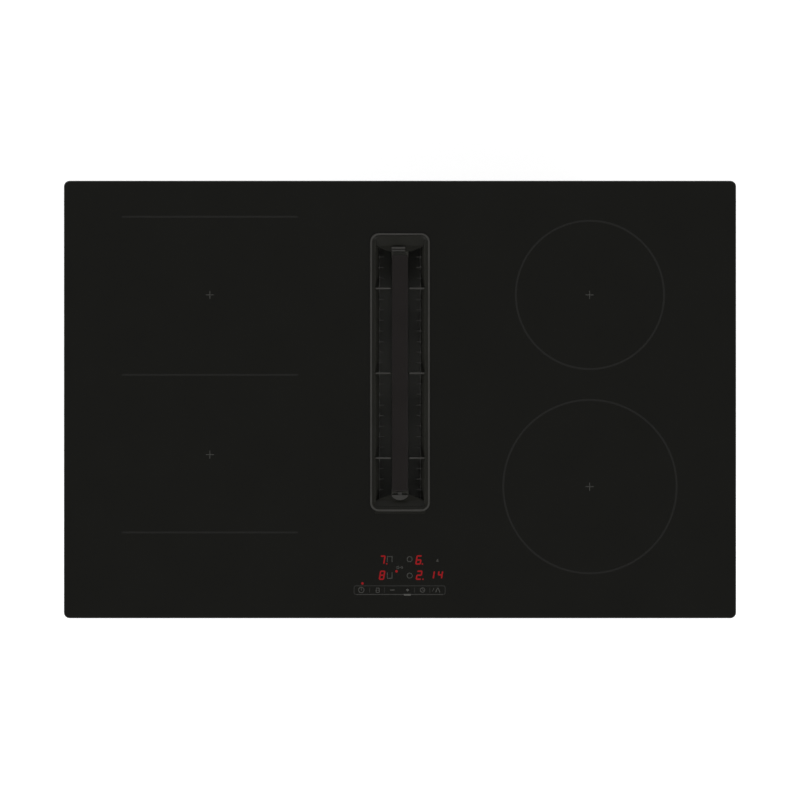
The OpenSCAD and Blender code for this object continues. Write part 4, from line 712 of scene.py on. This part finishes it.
# rounded beads pressed into the floor beside the fan module
bead = {"width": 9, "end": 4.05, "rise": 1.5, "round": 1.35, "rows": (-66, 0, 66),
        "runs": ((-346, -168), (298, 352))}
bm = bmesh.new()
for row in bead["rows"]:
    for start, stop in bead["runs"]:
        flatBar(bm, (start + stop) / 2, row, stop - start, bead["width"], 0, bead["end"], 6)
bmesh.ops.recalc_face_normals(bm, faces=bm.faces)
pullUp(bm, bm.faces[:], bead["rise"])
bmesh.ops.recalc_face_normals(bm, faces=bm.faces)
bevelEdges(bm, topEdges(sharpEdges(bm, 40), bead["rise"]), bead["round"], 4)
bmesh.ops.rotate(bm, matrix=Matrix.Rotation(math.pi, 3, "X"), verts=bm.verts)
bmesh.ops.translate(bm, vec=(0, 0, tray["floor"]), verts=bm.verts)
finishPiece("trayBeads", bm, [finishes["tray_steel"]], "root", smooth=60)


# shares of the shank's radius, and of the head's radius and height
screwForm = {"tip": 0.55, "root": 0.8, "neck": 0.85, "side": 0.4, "shoulder": (0.86, 0.82), "crown": 0.66,
             "rim": 0.14, "recess": 0.42, "lobe": 0.07, "deep": 0.7, "lobes": 6, "steps": 24, "near": 0.001}


def addScrew(bm, s, matrix):
    # a pan head with a six lobed recess over a threaded shank; the head stands on z = 0
    form = screwForm
    before = set(bm.verts)
    crests = int(s["shank"] / s["pitch"])
    outline = [(s["shankR"] * form["tip"], -s["shank"])]
    for k in range(crests, 0, -1):
        outline += [(s["shankR"] * form["root"], -k * s["pitch"]), (s["shankR"], -(k - 0.5) * s["pitch"])]
    wide, high = form["shoulder"]
    outline += [(s["shankR"] * form["neck"], 0), (s["headR"], 0), (s["headR"], s["head"] * form["side"]),
                (s["headR"] * wide, s["head"] * high), (s["headR"] * form["crown"], s["head"])]
    points = [bm.verts.new((x, 0, z)) for x, z in outline]
    lines = [bm.edges.new(pair) for pair in zip(points, points[1:])]
    bmesh.ops.spin(bm, geom=points + lines, cent=(0, 0, 0), axis=(0, 0, 1), angle=2 * math.pi,
                   steps=form["steps"], use_merge=True)
    fresh = [v for v in bm.verts if v not in before]
    for level in (-s["shank"], s["head"]):
        loop = [e for v in fresh for e in v.link_edges if e.is_boundary
                and all(abs(p.co.z - level) < form["near"] for p in e.verts)]
        closed = bmesh.ops.holes_fill(bm, edges=list(set(loop)), sides=0)["faces"]
    bmesh.ops.inset_region(bm, faces=closed, thickness=s["headR"] * form["rim"], use_boundary=True,
                           use_even_offset=True)
    for v in {v for f in closed for v in f.verts}:
        turn = math.atan2(v.co.y, v.co.x)
        lobed = s["headR"] * (form["recess"] + form["lobe"] * math.cos(form["lobes"] * turn))
        v.co.x, v.co.y = lobed * math.cos(turn), lobed * math.sin(turn)
    pullUp(bm, closed, -s["head"] * form["deep"])
    bmesh.ops.delete(bm, geom=closed, context="FACES_ONLY")
    made = [v for v in bm.verts if v not in before]
    bmesh.ops.recalc_face_normals(bm, faces=facesOf(made))
    bmesh.ops.transform(bm, matrix=matrix, verts=made)


def facing(x, y, z, outward):
    # the place and turn of a screw whose head looks outward
    turned = Vector(outward).to_track_quat("Z", "Y").to_matrix().to_4x4()
    return Matrix.Translation((x, y, z)) @ turned


# sizes in millimetres, then each screw's place and the way its head looks
screws = (
    ("traySideScrews", "tray_screws", {"headR": 2.9, "head": 1.5, "shankR": 1.5, "shank": 6.1, "pitch": 0.8},
     [(x, side * 242.5, -3, (0, side, 0)) for side in (-1, 1) for x in (-247.47, 0, 247.47)]
     + [(side * 372.5, y, -3, (side, 0, 0)) for side in (-1, 1) for y in (-120.6, 120.6)]),
    ("casingScrews", "casing_screws", {"headR": 4, "head": 2.5, "shankR": 2, "shank": 14.5, "pitch": 1.2},
     [(x, y, -128.5, (0, 0, -1)) for x in (-142, 272) for y in (-148.5, 17.5, 183.5)]),
    ("moduleScrews", "module_screws", {"headR": 4, "head": 2.5, "shankR": 2, "shank": 11, "pitch": 1.2},
     [(x, y, -59, (0, 0, 1)) for x in (-119, 249) for y in (-174, 209)]))
for name, part, size, spots in screws:
    bm = bmesh.new()
    for x, y, z, outward in spots:
        addScrew(bm, size, facing(x, y, z, outward))
    finishPiece(name, bm, [finishes["screw_steel"]], "root", [part], smooth=40)
print("outer parts and screws")


# prints on the glass

# the films' thickness, and how much the brighter ones stand above the others
prints = {"top": 6.0, "thick": 0.03, "step": 0.01, "dots": 1.4}


def flatRing(bm, x, y, radius, line, steps=48):
    # one short edge swept round the centre
    inner = bm.verts.new((x + radius - line / 2, y, 0))
    outer = bm.verts.new((x + radius + line / 2, y, 0))
    edge = bm.edges.new((inner, outer))
    bmesh.ops.spin(bm, geom=[inner, outer, edge], cent=(x, y, 0), axis=(0, 0, 1), steps=steps,
                   angle=2 * math.pi, use_merge=True)


def printed(name, bm, material, thick=prints["thick"]):
    # gives the flat shapes their film thickness on the glass
    bmesh.ops.recalc_face_normals(bm, faces=bm.faces)
    for face in bm.faces:
        if face.normal.z < 0:
            face.normal_flip()
    pullUp(bm, bm.faces[:], thick)
    bmesh.ops.recalc_face_normals(bm, faces=bm.faces)
    bmesh.ops.translate(bm, vec=(0, 0, prints["top"]), verts=bm.verts)
    finishPiece(name, bm, [material], "root")


def ceramicEnamel(name, colours):
    # screen printed and fired: as smooth as the glass, its dots as patches of two close shades
    ink, tree, shader, inMm = newFinish(name, {"IOR": 1.5, "Roughness": 0.16})
    patchy(tree, shader, inMm, colours, prints["dots"])
    return ink


zoneInk = ceramicEnamel("darkCeramicEnamel", ("#1b1b19", "#20201e"))
barInk = ceramicEnamel("greyCeramicEnamel", ("#222220", "#282826"))
iconInk = ceramicEnamel("paleCeramicEnamel", ("#3c3c39", "#444441"))
brightInk = ceramicEnamel("whiteCeramicEnamel", ("#535350", "#5c5c58"))

# circles as x, y and diameter
zones = {"line": 2.2, "left": -331.8, "right": -121.8, "rows": (218, 29.4, -158.6), "corner": 0.5,
         "circles": ((226.6, 124.8, 176.8), (226.6, -103.9, 206.8)),
         "marks": ((-226.8, 124.8), (-226.8, -65.8), (226.2, 124.8), (226.2, -103.9)),
         "mark": 9.6, "markLine": 0.9}
bm = bmesh.new()
for row in zones["rows"]:
    flatBar(bm, (zones["left"] + zones["right"]) / 2, row, zones["right"] - zones["left"], zones["line"],
            0, zones["corner"])
for x, y, across in zones["circles"]:
    flatRing(bm, x, y, across / 2, zones["line"], steps=180)
printed("zonePrints", bm, zoneInk)
bm = bmesh.new()
for x, y in zones["marks"]:
    half = (zones["mark"] - zones["markLine"]) / 2
    flatBar(bm, x, y, zones["mark"], zones["markLine"])
    for side in (-1, 1):
        flatBar(bm, x, y + side * (zones["markLine"] + half) / 2, zones["markLine"], half)
printed("zoneMarks", bm, iconInk)

panel = {"line": 1.0, "outline": (-0.4, -227.4, 110, 11.8, 3.2), "frameLine": 1.4,
         "rings": ((11.5, -190.5, 3.0), (11.5, -210.1, 3.0), (-46.2, -227.2, 3.2), (26.9, -227.3, 2.6)),
         "walls": (-36.4, -18.6, 17.3, 35.6), "wall": 6,
         "strokes": (  # x, y, length, width, turn
             (-46.2, -226.4, 2.6, 0.9, 90),  # power tick
             (26.9, -226.6, 2.0, 0.8, 90), (27.6, -227.5, 1.6, 0.8, -20),  # clock hands
             (-9.1, -227.3, 5.4, 1.4, 0),  # minus
             (39.6, -227.0, 4.2, 0.8, 62),  # slash before the fan sign
             (-0.2, -200.4, 4.6, 1.0, 0)),  # stem of the link sign
         "brightStrokes": ((8.9, -227.2, 3.2, 1.2, 0), (8.9, -226.2, 0.9, 1.2, 0), (8.9, -228.2, 0.9, 1.2, 0),
                           (8.8, -233.0, 8.4, 1.9, 0)),  # plus, and the mark under it
         "lowLine": (-0.4, -232.6, 103, 0.5, 0),
         "zoneSign": (-26.6, -227.6, 4.6, 6.2, 1.0, 0.9),  # x, y, width, height, corner, line
         "fanSign": (45.0, -227.2, 5.2, 6.2, 1.1, 24),  # x, y, width, height, line, lean
         "linkLine": 0.9, "link": ((-2.6, -200.4, 1.4), (2.2, -200.4, 1.0)),
         "bell": (44.7, -192.0, 2.8, 3.2),
         "brackets": ((-12.3, -190.3, 6.6, 7.2, 1), (-12.3, -210.0, 6.6, 7.6, -1))}


def flatBracket(bm, x, y, width, tall, side, line):
    # a frame whose lower or upper side is left open
    flatBar(bm, x, y + side * (tall - line) / 2, width, line, 0, 0.3)
    for leg in (-1, 1):
        flatBar(bm, x + leg * (width - line) / 2, y - side * line / 2, line, tall - line)


bm = bmesh.new()
flatOutline(bm, *panel["outline"], panel["frameLine"])
for x in panel["walls"]:
    flatBar(bm, x, panel["outline"][1], panel["line"], panel["wall"])
printed("touchBarPrint", bm, barInk)
bm = bmesh.new()
for x, y, radius in panel["rings"]:
    flatRing(bm, x, y, radius, panel["line"])
for x, y, length, width, turn in panel["strokes"]:
    flatBar(bm, x, y, length, width, turn)
for x, y, width, tall, side in panel["brackets"]:
    flatBracket(bm, x, y, width, tall, side, panel["line"])
x, y, width, tall, corner, line = panel["zoneSign"]
flatOutline(bm, x, y, width, tall, corner, line)
flatBar(bm, x, y, width - 2 * line, line / 2)
x, y, width, tall, line, lean = panel["fanSign"]
for side in (-1, 1):
    flatBar(bm, x + side * width / 4, y, tall, line, 90 + side * lean)
for x, y, radius in panel["link"]:
    flatRing(bm, x, y, radius, panel["linkLine"], steps=16)
x, y, width, tall = panel["bell"]
flatBar(bm, x, y - tall / 4, width, tall / 2, 0, 0.5)
flatBar(bm, x, y + tall / 4, width / 2, tall / 2, 0, 0.4)
flatBar(bm, *panel["lowLine"])
printed("panelIcons", bm, iconInk, thick=prints["thick"] + prints["step"])
bm = bmesh.new()
for x, y, length, width, turn in panel["brightStrokes"]:
    flatBar(bm, x, y, length, width, turn)
printed("brightIcons", bm, brightInk, thick=prints["thick"] + 2 * prints["step"])

# light of the digit modules as it comes through the black glass: dull red, with hardly any gloss
glowing = bpy.data.materials.new("redDigitLight")
glowing.use_nodes = True
tree = glowing.node_tree
shader = tree.nodes["Principled BSDF"]
shader.inputs["Base Color"].default_value = linear("#2e0608")
shader.inputs["Roughness"].default_value = 0.3
shader.inputs["Specular IOR Level"].default_value = 0.15
shader.inputs["Emission Color"].default_value = linear("#8a1418")
shader.inputs["Emission Strength"].default_value = 1.0

# each segment's place as shares of the digit's width and half height, and its turn
segments = {"a": (0, 1, 0), "b": (0.5, 0.5, 90), "c": (0.5, -0.5, 90), "d": (0, -1, 0),
            "e": (-0.5, -0.5, 90), "f": (-0.5, 0.5, 90), "g": (0, 0, 0)}
digitShapes = {"1": "bc", "2": "abged", "4": "fgbc", "6": "afgedc", "7": "abc", "8": "abcdefg"}
# lap is how far a segment's pointed ends run past its corners, as a share of the line, as cut is
digits = {"line": 1.7, "slant": 0.16, "gap": 0.15, "lap": 0.6, "cut": 0.42, "dot": 1.7, "dotCorner": 0.5,
          "light": 1.5,
          "dots": ((-15.9, -196.0), (26.7, -196.2), (27.4, -214.4)),
          "lights": ((-4.2, -204.9), (-44.8, -219.4)),
          "places": (("7", -21.0, -191.3, 6.5, 10.6), ("6", 22.3, -191.4, 6.9, 11.2),
                     ("8", -21.4, -209.6, 6.6, 11.2), ("2", 22.8, -209.6, 6.9, 11.2),
                     ("1", 38.9, -209.2, 4.6, 9.8), ("4", 48.0, -209.2, 6.0, 9.8))}
bm = bmesh.new()
for digit, x, y, width, tall in digits["places"]:
    before = set(bm.verts)
    across, rise = width - digits["line"], (tall - digits["line"]) / 2
    for key in digitShapes[digit]:
        sideways, upward, turn = segments[key]
        length = (across if turn == 0 else rise) - 2 * digits["gap"] + digits["line"] * digits["lap"]
        flatBar(bm, sideways * across, upward * rise, length, digits["line"], turn,
                digits["line"] * digits["cut"])
    made = [v for v in bm.verts if v not in before]
    slant = Matrix(((1, digits["slant"], 0, x), (0, 1, 0, y), (0, 0, 1, 0), (0, 0, 0, 1)))
    bmesh.ops.transform(bm, matrix=slant, verts=made)
for x, y in digits["dots"]:
    flatBar(bm, x, y, digits["dot"], digits["dot"], 0, digits["dotCorner"])
printed("displayDigits", bm, glowing)
bm = bmesh.new()
for x, y in digits["lights"]:
    made = bmesh.ops.create_circle(bm, cap_ends=True, segments=20, radius=digits["light"])["verts"]
    bmesh.ops.translate(bm, vec=(x, y, 0), verts=made)
printed("signalLights", bm, glowing)
print("prints and digits")
